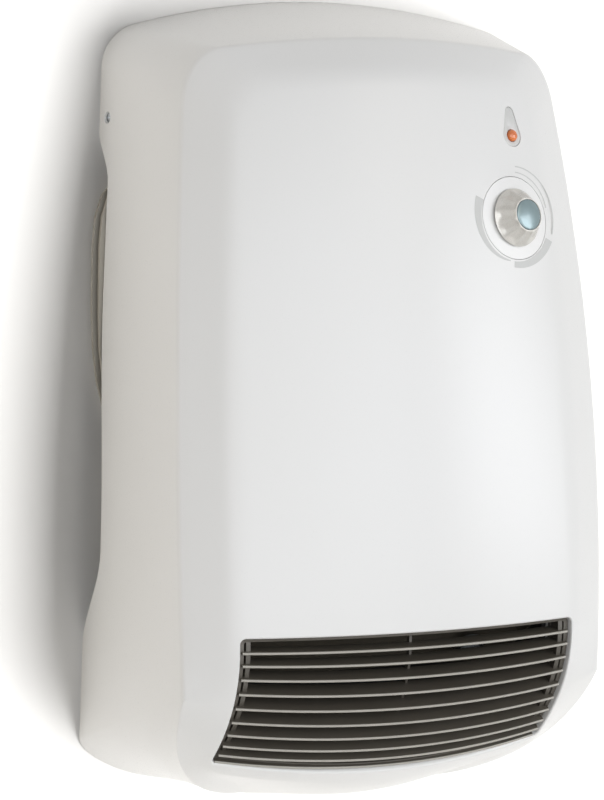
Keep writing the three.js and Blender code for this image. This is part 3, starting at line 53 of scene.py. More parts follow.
MM = 0.001
FOOT = 300.0  # millimetres from the casing's foot up to the frame's origin
HEIGHT = 400.0
MIDDLE = 190.0  # height that the casing's rings close in on
WALL = 2.4
RIM = 0.6
GAP = 0.3

# Sizes that change over the height, in millimetres: value at mid height, slope and bow
BACK_HALF = (119.0, -4.7, 0.0)
CREASE_HALF = (112.0, -7.3, -11.2)
CREASE_DEPTH = (101.2, -28.2, -15.1)
FACE_HALF = (90.0, -5.8, -9.5)
FACE_DEPTH = (130.4, -25.7, -19.9)
FACE_BOW = (17.6, 6.3, 0.0)
CURL_START, CURL, CURL_BOW = 94.0, 0.00755, 0.02  # where the front starts to curl back, and how fast

# Outlet opening, louvres and controls, in millimetres from the casing's foot
OUTLET_HALF, OUTLET_FOOT, OUTLET_TOP = 88.4, 24.4, 100.6
GRILLE_BAR, GRILLE_RAIL, GRILLE_FRONT, GRILLE_BACK = 2.6, 1.6, 3.4, 14.6
POST_X, LOUVRE_BOW = 83.4, 14.26
KNOB_X, KNOB_Z = 62.3, 296.4
DIAL_RADIUS = 20.4
KNOB_RADIUS, KNOB_TOP_RADIUS, KNOB_TALL, KNOB_LIFT = 14.4, 8.5, 9.2, 0.6
CAP_RADIUS, CAP_THICK = 7.5, 1.2
LAMP_X, LAMP_Z = 65.1, 336.2
LAMP_HOLE, LENS_RADIUS = 3.2, 2.9
SCREW_Z, SCREW_DEPTH = 341.0, 8.0
NOTCH_FOOT, NOTCH_TOP, NOTCH_DEPTH = 74.0, 336.0, 18 * 1.06

# Depth and height of a louvre's front edge, as cubics of its number from the top
LOUVRE_DEPTHS = (-136.61, -1.078, 0.9364, -0.0422)
LOUVRE_HEIGHTS = (92.64 - FOOT, -6.319, -0.5642, 0.0507)

PATCH = 14.0  # width in millimetres of the patches in which a metal dulls

# Stage, in metres and watts
ROOM_GLOW, PLASTER_GLOW = 0.08, 0.05
AIM = (0, -0.07, -0.08)
LENS, CAMERA_AT = 132.94, (-0.617, -1.3832, 0.0745)
CAMERA_FORWARD, CAMERA_UP = (0.4029, 0.9078, -0.1167), (0.0299, 0.1144, 0.993)


# ---------------------------------------------------------------- form of the casing


def along(curve, z):
    """A size that changes over the height: its value at mid height, slope and bow."""
    t = 2 * z / HEIGHT - 1
    return curve[0] + curve[1] * t + curve[2] * t * t


def face_point(x, v, inset=0.0):
    """A point of the front at x, and at the height v where its middle line is, set in by inset."""
    below = max(0.0, CURL_START - v)
    depth = along(FACE_DEPTH, v) - CURL * below**2
    back = (along(FACE_BOW, max(v, CURL_START)) + CURL_BOW * below) * (x / 100) ** 2 + inset
    lean = math.atan(2 * CURL * below)
    return np.array([x, -depth + back * math.cos(lean), v + back * math.sin(lean)])


def face_normal(x, v):
    """The front's outward direction at one of its points."""
    across = face_point(x + 0.5, v) - face_point(x - 0.5, v)
    up = face_point(x, v + 0.5) - face_point(x, v - 0.5)
    normal = np.cross(across, up)
    return normal / np.linalg.norm(normal)


def side_half(depth, z, inset=0.0):
    """Distance of the side wall from the middle, at a depth and a height."""
    back = along(BACK_HALF, z)
    crease = along(CREASE_HALF, z)
    return back + (crease - back) * depth / along(CREASE_DEPTH, z) - inset


def bend(a, q, b, t):
    """A point of the parabola from a to b that is drawn towards q."""
    return (1 - t) ** 2 * a + 2 * t * (1 - t) * q + t * t * b


def step(start, to, length):
    """The point that lies a length away from start, on the way to another point."""
    way = to - start
    return start + way * (length / np.linalg.norm(way))


def corner(edge_a, a, step_a, edge_b, b, step_b, weight, count, depth=None):
    """The points of a rounded corner between two edges, each a function of one number."""
    start, end = edge_a(a), edge_b(b)
    da, db = start - edge_a(a - step_a), end - edge_b(b - step_b)
    s, t = np.linalg.solve([[da[0], -db[0]], [da[2], -db[2]]], [end[0] - start[0], end[2] - start[2]])
    peak = start + s * da
    peak[1] = depth if depth is not None else (start[1] + s * da[1] + end[1] + t * db[1]) / 2
    points = []
    for i in range(1, count):
        u = i / count
        w = ((1 - u) ** 2, 2 * weight * u * (1 - u), u * u)
        points.append((w[0] * start + w[1] * peak + w[2] * end) / sum(w))
    return points


def ring(stations, top, top_end, side, side_top, side_foot, foot, foot_end, weights, depth=None):
    """One ring round the casing, clockwise as seen from the front, from the middle of its top."""
    n_top, n_corner, n_side, n_low, n_foot = stations
    half = [top(top_end * i / n_top) for i in range(n_top + 1)]
    half += corner(top, top_end, 0.5, side, side_top, -0.5, weights[0], n_corner)
    half += [side(side_top + (side_foot - side_top) * i / n_side) for i in range(n_side + 1)]
    half += corner(side, side_foot, 0.5, foot, foot_end, 0.5, weights[1], n_low, depth)
    half += [foot(foot_end * (1 - i / n_foot)) for i in range(n_foot + 1)]
    half = np.array(half)
    return np.vstack([half, half[1:-1][::-1] * (-1, 1, 1)])


def casing_rings(stations, inset, rim_y, crease, soft, across):
    """Rings of the casing's surface from the rim over the crease to the middle of the front."""
    rim = ring(
        stations,
        top=lambda x: np.array([x, rim_y, HEIGHT - inset - 13.4 * (x / 100) ** 2]),
        top_end=98.0,
        side=lambda z: np.array([along(BACK_HALF, z) - inset, rim_y, z]),
        side_top=366.0,
        side_foot=28.3,
        foot=lambda x: np.array([x, rim_y, 0.4 + 6.8 * (x / 100) ** 2 + inset]),
        foot_end=81.0,
        weights=(0.75, 0.5),
    )

    def crease_top(x):
        depth = -80.0 + 11.5 * (x / 100) ** 2 + 0.7 * inset
        return np.array([x, depth, HEIGHT - 17.4 - 9.15 * (x / 100) ** 2 - inset])

    edge = ring(
        stations,
        top=crease_top,
        top_end=82.0,
        side=lambda z: np.array([along(CREASE_HALF, z) - inset, -along(CREASE_DEPTH, z) + 0.7 * inset, z]),
        side_top=350.0,
        side_foot=70.0,
        foot=lambda x: np.array([x, -40.0, 12.6 * (x / 100) ** 2 + inset]),
        foot_end=51.0,
        weights=(0.8, 0.88),
        depth=-72.0,
    )
    face = ring(
        stations,
        top=lambda x: np.array([x, 0, 366.0 - 9.0 * (x / 100) ** 2]),
        top_end=66.0,
        side=lambda v: np.array([along(FACE_HALF, max(v, 100)) + 0.02 * max(0, 100 - v), 0, v]),
        side_top=338.0,
        side_foot=64.0,
        foot=lambda x: np.array([x, 0, 19.0]),
        foot_end=80.0,
        weights=(0.75, 2.2),
    )
    n_top, n_corner, n_side, n_low, n_foot = stations
    # Round the foot, the sharp crease gives way to a soft underside; share is 1 where it has.
    start = n_top + n_corner + n_side * (1 - 2 / 9)
    end = n_top + n_corner + n_side + n_low - 1
    share = [min(1.0, max(0.0, (j - start) / (end - start))) for j in range(end + 2 + n_foot)]
    share = [t * t * (3 - 2 * t) for t in share]
    share += share[1:-1][::-1]

    def facing(p, scale, less=0.0):
        f = scale - less / math.hypot(p[0], p[2] - MIDDLE)
        return face_point(p[0] * f * (1 - 0.35 * inset / 90), MIDDLE + (p[2] - MIDDLE) * f, inset)

    near, wide = 2.2, 7.0  # half widths of the rounding at the crease and at the front's edge
    rounds = np.linspace(0, 1, crease)
    softs = np.linspace(0, 1, soft)
    rings = [[] for _ in range(1 + 3 + crease + 3 + soft)]
    for j, (r, c) in enumerate(zip(rim, edge)):
        s, d = facing(face[j], 1), facing(face[j], 1, wide)
        slope = (s[1] - d[1]) / math.hypot(s[0] - d[0], s[2] - d[2])
        reach = math.hypot(c[0] - s[0], c[2] - s[2])
        q1 = np.array([c[0], (c[1] + r[1]) / 2, c[2]])
        q2 = np.array([c[0], min(c[1] - 2, s[1] + 0.9 * slope * reach), c[2] + 4.0])
        a, b, e = step(c, r, near), step(c, s, near), step(s, c, wide)
        plain = [r] + [r + (a - r) * t for t in (0.3, 0.6, 0.9)]
        plain += [bend(a, c, b, t) for t in rounds]
        plain += [b + (e - b) * t for t in (0.25, 0.5, 0.75)]
        plain += [bend(e, s, d, t) for t in softs]
        low = [r] + [bend(r, q1, c, t) for t in (0.3, 0.6, 0.88)]
        for t in rounds:
            low.append(bend(r, q1, c, 0.88 + 0.12 * 2 * t) if t < 0.5 else bend(c, q2, s, 0.15 * (2 * t - 1)))
        low += [bend(c, q2, s, t) for t in (0.36, 0.57, 0.78)]
        low += [bend(c, q2, s, 0.78 + 0.22 * 2 * t) if t < 0.5 else s + (d - s) * (2 * t - 1) for t in softs]
        for k, (p, q) in enumerate(zip(plain, low)):
            rings[k].append(p + (q - p) * share[j])
    for scale in np.linspace(0.9, 0.08, across):
        rings.append([facing(p, scale) for p in face])
    return np.array(rings), np.array([0, rim_y, MIDDLE]), face_point(0, MIDDLE, inset)


# ---------------------------------------------------------------- meshes


def new_object(name, data):
    obj = bpy.data.objects.new(name, data)
    bpy.context.scene.collection.objects.link(obj)
    return obj


def in_frame(points):
    """Millimetres from the casing's foot to the frame's metres."""
    return (np.asarray(points, float).reshape(-1, 3) - (0, 0, FOOT)) * MM


def mesh_object(name, points, faces, smooth=30):
    """An object of points in millimetres, whose edges sharper than smooth degrees stay sharp."""
    mesh = bpy.data.meshes.new(name)
    mesh.from_pydata(in_frame(points).tolist(), [], faces)
    mesh.validate()
    tidy(mesh, smooth)
    return new_object(name, mesh)


def tidy(mesh, smooth=30):
    """Merged doubles, faces out, and shading that is smooth except over sharp edges."""
    bm = bmesh.new()
    bm.from_mesh(mesh)
    bmesh.ops.remove_doubles(bm, verts=bm.verts, dist=2e-6)
    bmesh.ops.recalc_face_normals(bm, faces=bm.faces)
    bm.to_mesh(mesh)
    bm.free()
    mesh.shade_smooth()
    mesh.set_sharp_from_angle(angle=math.radians(smooth))


def loft(rings, back=None, front=None):
    """Points and faces of a closed surface through rings of equal count."""
    rings = np.asarray(rings, float)
    count = rings.shape[1]
    points = list(rings.reshape(-1, 3))
    faces = []
    for i in range(len(rings) - 1):
        for j in range(count):
            k = (j + 1) % count
            faces.append((i * count + j, i * count + k, (i + 1) * count + k, (i + 1) * count + j))
    last = (len(rings) - 1) * count
    for centre, first in ((back, 0), (front, last)):
        points.append(rings[first // count].mean(0) if centre is None else centre)
        faces += [(first + j, first + (j + 1) % count, len(points) - 1) for j in range(count)]
    return points, faces


def combine(target, tools, operation="DIFFERENCE", smooth=30):
    """Joins or cuts with each tool in turn, and removes the tools."""
    for tool in tools:
        modifier = target.modifiers.new("Combine", "BOOLEAN")
        modifier.operation = operation
        modifier.solver = "EXACT"
        modifier.object = tool
    apply_modifiers(target, smooth)
    for tool in tools:
        bpy.data.objects.remove(tool)
    return target


def apply_modifiers(obj, smooth=30):
    """Takes what the modifiers make as the object's own mesh."""
    graph = bpy.context.evaluated_depsgraph_get()
    mesh = bpy.data.meshes.new_from_object(obj.evaluated_get(graph))
    obj.modifiers.clear()
    old = obj.data
    obj.data = mesh
    mesh.name = obj.name
    bpy.data.meshes.remove(old)
    tidy(mesh, smooth)
    return obj


def outline(half, foot, top, radius):
    """A rounded rectangle as [x, height] pairs, clockwise from its top right."""
    arc, run, rise = 6, 14, 10  # parts of a corner, of the foot or top, and of a side
    points = []
    corners = ((half - radius, top - radius, 90), (half - radius, foot + radius, 0))
    corners += ((-half + radius, foot + radius, -90), (-half + radius, top - radius, -180))
    for k, (cx, cz, start) in enumerate(corners):
        for i in range(arc + 1):
            a = math.radians(start - 90 * i / arc)
            points.append((cx + radius * math.cos(a), cz + radius * math.sin(a)))
        nx, nz, begin = corners[(k + 1) % 4]
        to = (nx + radius * math.cos(math.radians(begin)), nz + radius * math.sin(math.radians(begin)))
        count = run if k in (1, 3) else rise
        end = points[-1]
        for i in range(1, count):
            points.append(tuple(end[n] + (to[n] - end[n]) * i / count for n in (0, 1)))
    return points


def face_tube(name, profile, half, foot, top, radius):
    """A rounded rectangle carried through the front: profile is a list of (inset, growth)."""
    rings = []
    for inset, grow in profile:
        path = outline(half + grow, foot - grow, top + grow, max(0.2, radius + grow))
        rings.append([face_point(x, v, inset) for x, v in path])
    middle = (foot + top) / 2
    points, faces = loft(rings, face_point(0, middle, profile[0][0]), face_point(0, middle, profile[-1][0]))
    return mesh_object(name, points, faces)


def placed(rings, at, normal):
    """Points and faces of rings that face -Y at the origin, taken to a place and a normal."""
    turn = np.array(Vector((0, -1, 0)).rotation_difference(Vector(normal)).to_matrix())
    points, faces = loft(rings)
    return np.asarray(points) @ turn.T + np.asarray(at, float), faces


def turned(name, profile, at, normal, sides=96, smooth=30, wave=None):
    """A turned solid: profile lists (radius, height along the axis), and wave changes a radius by angle."""
    rings = []
    for radius, height in profile:
        angles = [2 * math.pi * j / sides for j in range(sides)]
        radii = [radius if wave is None else wave(radius, height, a) for a in angles]
        rings.append([(r * math.sin(a), -height, r * math.cos(a)) for r, a in zip(radii, angles)])
    return mesh_object(name, *placed(rings, at, normal), smooth)


def prism(name, pairs, half):
    """A flat outline of [y, z] pairs, run along X to both sides."""
    points, faces = loft([[(end, y, z) for y, z in pairs] for end in (-half, half)])
    return mesh_object(name, points, faces)


def flat_solid(name, pairs, low, high, at, normal):
    """A flat outline of [x, z] pairs, from one height to another along an axis of its own."""
    return mesh_object(name, *placed([[(x, -end, z) for x, z in pairs] for end in (low, high)], at, normal))


# ---------------------------------------------------------------- nodes and materials


def linear(code):
    """An sRGB hex colour as linear RGBA."""
    values = [int(code[i : i + 2], 16) / 255 for i in (1, 3, 5)]
    return (*[v / 12.92 if v <= 0.04045 else ((v + 0.055) / 1.055) ** 2.4 for v in values], 1.0)


def add(tree, kind, links=None, **settings):
    """Adds a node with its settings, and sets or links its inputs."""
    node = tree.nodes.new(kind)
    for key, value in settings.items():
        setattr(node, key, value)
    for key, value in (links or {}).items():
        if isinstance(value, bpy.types.NodeSocket):
            tree.links.new(value, node.inputs[key])
        else:
            node.inputs[key].default_value = value
    return node


def blank(name, **values):
    """A material with one Principled shader, and the object's coordinates; values go to its sockets."""
    material = bpy.data.materials.new(name)
    material.use_nodes = True
    tree = material.node_tree
    tree.nodes.clear()
    shader = add(tree, "ShaderNodeBsdfPrincipled", {k.replace("_", " "): v for k, v in values.items()})
    add(tree, "ShaderNodeOutputMaterial", {"Surface": shader.outputs[0]})
    return material, tree, shader, add(tree, "ShaderNodeTexCoord").outputs["Object"]


def noise(tree, place, grain, detail):
    """A noise whose grains are grain mm."""
    links = {"Vector": place, "Scale": 1 / (grain * MM), "Detail": detail}
    return add(tree, "ShaderNodeTexNoise", links).outputs[0]


def two_tone(tree, shader, drift, dark, colour):
    """A base colour that drifts from one linear colour to another."""
    mix = add(tree, "ShaderNodeMix", {0: drift, 6: dark, 7: colour}, data_type="RGBA")
    tree.links.new(mix.outputs[2], shader.inputs["Base Color"])


def grained(tree, shader, grain, smoothest, roughest, depth, strength):
    """Roughness between two values, and a bump depth mm high, that follow one noise."""
    limits = {"From Min": 0.3, "From Max": 0.7, "To Min": smoothest, "To Max": roughest}
    sheen = add(tree, "ShaderNodeMapRange", {"Value": grain, **limits})
    tree.links.new(sheen.outputs[0], shader.inputs["Roughness"])
    bump = add(tree, "ShaderNodeBump", {"Height": grain, "Distance": depth * MM, "Strength": strength})
    tree.links.new(bump.outputs[0], shader.inputs["Normal"])


def moulded(name, colour, dark, rough, spread, grain, depth, tone=60.0, **values):
    """A moulded plastic: a faint drift between two colours over tone mm, and a tool texture of grain mm."""
    material, tree, shader, place = blank(name, **values)
    colour = linear(colour) if isinstance(colour, str) else (*colour, 1.0)
    two_tone(tree, shader, noise(tree, place, tone, 2.0), linear(dark), colour)
    grained(tree, shader, noise(tree, place, grain, 3.0), rough - spread, rough + spread, depth, 0.6)
    return material


def metal(name, colour, dark, rough, grain, stretch=(1, 1, 1), depth=0.01, **values):
    """A worked metal: its grain runs along the axis with the small stretch, and it dulls in patches."""
    material, tree, shader, place = blank(name, Metallic=1.0, **values)
    run = add(tree, "ShaderNodeMapping", {"Vector": place, "Scale": stretch}).outputs[0]
    two_tone(tree, shader, noise(tree, place, PATCH, 3.0), linear(dark), linear(colour))
    grained(tree, shader, noise(tree, run, grain, 2.0), rough - 0.08, rough + 0.1, depth, 0.5)
    return material


def finish_with(obj, material):
    obj.data.materials.clear()
    obj.data.materials.append(material)


def settle(obj, body, node):
    """Ties a finished piece to its body, and hides the imported node that it stands for."""
    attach(obj, body)
    if node:
        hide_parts(node)


# ---------------------------------------------------------------- settings


class HeaterSizes(bpy.types.PropertyGroup):
    louvres: IntProperty(name="Louvres", description="Louvres in the outlet grille", default=9, min=2)
    first_lean: FloatProperty(
        name="First lean", description="Lean of the top louvre", default=math.radians(4.0), subtype="ANGLE"
    )
    fan_out: FloatProperty(
        name="Fan out",
        description="How much more each louvre leans than the one over it",
        default=math.radians(3.9),
        subtype="ANGLE",
    )
    louvre_depth: FloatProperty(name="Louvre depth", description="Depth of a louvre, in mm", default=12.0)
    louvre_thick: FloatProperty(
        name="Louvre thickness", description="Thickness of a louvre, in mm", default=1.3
    )
    flutes: IntProperty(name="Flutes", description="Flutes round the knob", default=12, min=3)
    flute_depth: FloatProperty(name="Flute depth", description="Depth of a flute, in mm", default=0.9)


class HeaterColours(bpy.types.PropertyGroup):
    casing: FloatVectorProperty(
        name="Casing", description="Colour of the casing", subtype="COLOR", default=linear("#EFEEEC")[:3]
    )
    lens: FloatVectorProperty(
        name="Lamp", description="Colour of the lamp's lens", subtype="COLOR", default=linear("#F0893A")[:3]
    )


# ---------------------------------------------------------------- operators


class HEATER_OT_stage(bpy.types.Operator):
    """Wall, floor, lights and camera"""

    bl_idname = "heater.stage"
    bl_label = "Stage"

    def execute(self, context):
        context.scene.view_settings.view_transform = "Standard"
        self.room(context.scene)
        corners = [(-1300, 0.6, -800), (1300, 0.6, -800), (1300, 0.6, 1600), (-1300, 0.6, 1600)]
        wall = self.sheet("wall", corners, True)
        corners = [(-1600, -1900, -900), (1600, -1900, -900), (1600, 1300, -900), (-1600, 1300, -900)]
        floor = self.sheet("floor", corners, False)

        # The wall has a key of its own, so that the shadow beside the casing has the photograph's width.
        # The light at the back shines through the wall, for the views from behind.
        aims = (
            # name, place, width, height, watts, the wall and floor alone or left out, tint
            ("Wall key", (0.6, -1.85, -0.34), 0.7, 0.7, 44.0, "INCLUDE", "#FFFFFF"),
            ("Front", (-0.15, -2.1, 0.2), 2.4, 1.6, 27.0, "EXCLUDE", "#F7FAFF"),
            ("Right", (1.35, -1.35, 0.1), 0.8, 0.8, 9.5, "EXCLUDE", "#F7FAFF"),
            ("High", (0.8, -1.6, 0.95), 0.8, 0.8, 2.0, "EXCLUDE", "#FFF1DA"),
            ("Side", (-1.5, -0.12, -0.1), 0.1, 1.4, 2.9, "EXCLUDE", "#FFF2DC"),
            ("Back", (0.0, 1.8, -0.1), 0.6, 0.3, 10.0, "EXCLUDE", "#FFFFFF"),
        )
        for name, place, width, height, power, linking, tint in aims:
            lamp = self.lamp(name, place, width, height, power)
            lamp.data.color = linear(tint)[:3]
            receivers = bpy.data.collections.new(name + " receivers")
            for piece in (wall, floor):
                receivers.objects.link(piece)
            lamp.light_linking.receiver_collection = receivers
            if name == "Back":
                lamp.light_linking.blocker_collection = receivers
            for child in receivers.collection_objects:
                child.light_linking.link_state = linking

        data = bpy.data.cameras.new("Camera")
        data.sensor_width = 36.0
        data.lens = LENS
        data.clip_end = 50.0
        camera = new_object("Camera", data)
        forward = Vector(CAMERA_FORWARD).normalized()
        right = forward.cross(Vector(CAMERA_UP)).normalized()
        turn = Matrix((right, right.cross(forward), -forward)).transposed().to_4x4()
        camera.matrix_world = Matrix.Translation(CAMERA_AT) @ turn
        context.scene.camera = camera
        return {"FINISHED"}

    def room(self, scene):
        """A world that is plain white to the camera and in reflections, and dim as a light."""
        world = bpy.data.worlds.new("Room")
        scene.world = world
        world.use_nodes = True
        tree = world.node_tree
        tree.nodes.clear()
        rays = add(tree, "ShaderNodeLightPath").outputs
        seen = rays["Is Camera Ray"]
        for kind in ("Is Glossy Ray", "Is Transmission Ray"):
            seen = add(tree, "ShaderNodeMath", {0: seen, 1: rays[kind]}, operation="MAXIMUM").outputs[0]
        room = add(tree, "ShaderNodeBackground", {"Color": linear("#FFFFFF"), "Strength": ROOM_GLOW})
        white = add(tree, "ShaderNodeBackground", {"Color": linear("#FFFFFF"), "Strength": 1.0})
        mix = add(tree, "ShaderNodeMixShader", {0: seen, 1: room.outputs[0], 2: white.outputs[0]})
        add(tree, "ShaderNodeOutputWorld", {"Surface": mix.outputs[0]})

    def sheet(self, name, corners, see_through):
        """One painted face of the room."""
        piece = mesh_object(name, corners, [(0, 1, 2, 3)])
        finish_with(piece, self.plaster(name + "_paint", see_through))
        return piece

    def plaster(self, name, see_through):
        """White emulsion paint, which stays white where no shadow falls and isn't seen from behind."""
        material = bpy.data.materials.new(name)
        material.use_nodes = True
        tree = material.node_tree
        tree.nodes.clear()
        path = add(tree, "ShaderNodeLightPath")
        paint = add(tree, "ShaderNodeBsdfDiffuse", {"Color": linear("#F4F3F1")})
        glow = add(tree, "ShaderNodeEmission", {"Color": linear("#FFFFFF"), "Strength": PLASTER_GLOW})
        both = add(tree, "ShaderNodeAddShader", {0: paint.outputs[0], 1: glow.outputs[0]})
        shown = add(
            tree,
            "ShaderNodeMixShader",
            {0: path.outputs["Is Camera Ray"], 1: paint.outputs[0], 2: both.outputs[0]},
        )
        if see_through:
            behind = add(tree, "ShaderNodeNewGeometry").outputs["Backfacing"]
            clear = add(tree, "ShaderNodeBsdfTransparent")
            shown = add(tree, "ShaderNodeMixShader", {0: behind, 1: shown.outputs[0], 2: clear.outputs[0]})
        add(tree, "ShaderNodeOutputMaterial", {"Surface": shown.outputs[0]})
        return material

    def lamp(self, name, place, width, height, power):
        data = bpy.data.lights.new(name, "AREA")
        data.shape = "RECTANGLE"
        data.size, data.size_y = width, height
        data.energy = power
        lamp = new_object(name, data)
        lamp.location = place
        lamp.rotation_euler = (Vector(AIM) - Vector(place)).to_track_quat("-Z", "Y").to_euler()
        return lamp


class HEATER_OT_casing(bpy.types.Operator):
    """White moulded casing with its outlet, intake cuts and recesses"""

    bl_idname = "heater.casing"
    bl_label = "Casing"

    def execute(self, context):
        shell = mesh_object("casing_shell", *loft(*casing_rings((8, 14, 30, 24, 10), 0.0, -RIM, 7, 7, 16)))
        inner = mesh_object("inner", *loft(*casing_rings((6, 8, 18, 14, 6), WALL, 6.0, 3, 3, 9)))
        combine(shell, [inner])
        collar = face_tube("collar", ((-3, 2.2), (9, 2.2)), OUTLET_HALF, OUTLET_FOOT, OUTLET_TOP, 2.5)
        limit = mesh_object("limit", *loft(*casing_rings((6, 8, 18, 14, 6), WALL / 2, 6.0, 3, 3, 9)))
        combine(collar, [limit], "INTERSECT")
        combine(shell, [collar], "UNION")
        # The opening's edge is rounded over 1.2 mm, as a moulding's is.
        edge = ((-12, 1.2), (-0.3, 1.2), (0.05, 0.75), (0.3, 0.4), (0.7, 0.12), (1.2, 0), (30, 0))
        opening = face_tube("opening", edge, OUTLET_HALF, OUTLET_FOOT, OUTLET_TOP, 2.5)
        knob_at, knob_normal = face_point(KNOB_X, KNOB_Z), face_normal(KNOB_X, KNOB_Z)
        dial = turned("dial_hole", ((DIAL_RADIUS + GAP, -9), (DIAL_RADIUS + GAP, 9)), knob_at, knob_normal)
        lamp_at, lamp_normal = face_point(LAMP_X, LAMP_Z), face_normal(LAMP_X, LAMP_Z)
        plate = flat_solid("plate_hole", drop(GAP), -1.5, 4, lamp_at, lamp_normal)
        hole = turned("lamp_hole", ((LAMP_HOLE, -8), (LAMP_HOLE, 8)), lamp_at, lamp_normal, 32)
        notch = prism("intake_cut", self.notch(), 200)
        recesses = [self.recess(side) for side in (-1, 1)]
        for tool in (opening, dial, plate, hole, notch, *recesses):
            combine(shell, [tool], smooth=28)
        # Moulded ABS: satin white, with a fine eroded texture that softens its reflections.
        paint = context.scene.heater_colours.casing
        abs_white = moulded("moulded_abs_white", paint, "#ECEBE8", 0.3, 0.03, 0.5, 0.012, tone=90.0, IOR=1.5)
        finish_with(shell, abs_white)
        settle(shell, "heater", "front_casing")
        return {"FINISHED"}

    def notch(self):
        """Outline of the cut at the rear edges, deepest over the intake, as [y, z] pairs."""
        low, high = NOTCH_FOOT, NOTCH_TOP
        middle = (low + high) / 2

        def ease(t):
            t = min(1.0, max(0.0, t))
            return t * t * (3 - 2 * t)

        points = [(20, low - 6)]
        for i in range(67):
            z = low + (high - low) * i / 66
            t = (z - low) / (high - low)
            lean = 1 - 0.42 * ease((z - middle + 80) / 130)
            points.append((-NOTCH_DEPTH * ease(t / 0.2) * ease((1 - t) / 0.1) * lean, z))
        return points + [(20, high + 6)]

    def recess(self, side):
        """Countersunk seat of a side screw."""
        x = side_half(SCREW_DEPTH, SCREW_Z)
        at, out = (side * x, -SCREW_DEPTH, SCREW_Z), (side, 0, 0)
        profile = ((1.9, -9), (1.9, -1.1), (2.8, -1.1), (2.8, -0.3), (3.0, 0.1), (3.0, 9))
        return turned("recess", profile, at, out, 40)


def drop(extra):
    """A drop's outline, a round foot and a smaller round tip, as [x, z] pairs."""
    foot, tip, rise = 5.4 + extra, 2.4 + extra, 11.8
    lean = math.asin((foot - tip) / rise)
    points = []
    for radius, z, start, end, count in (
        (tip, rise, lean, math.pi - lean, 20),
        (foot, 0, math.pi - lean, 2 * math.pi + lean, 44),
    ):
        for i in range(count + 1):
            a = start + (end - start) * i / count
            points.append((radius * math.cos(a), z + radius * math.sin(a)))
    return points


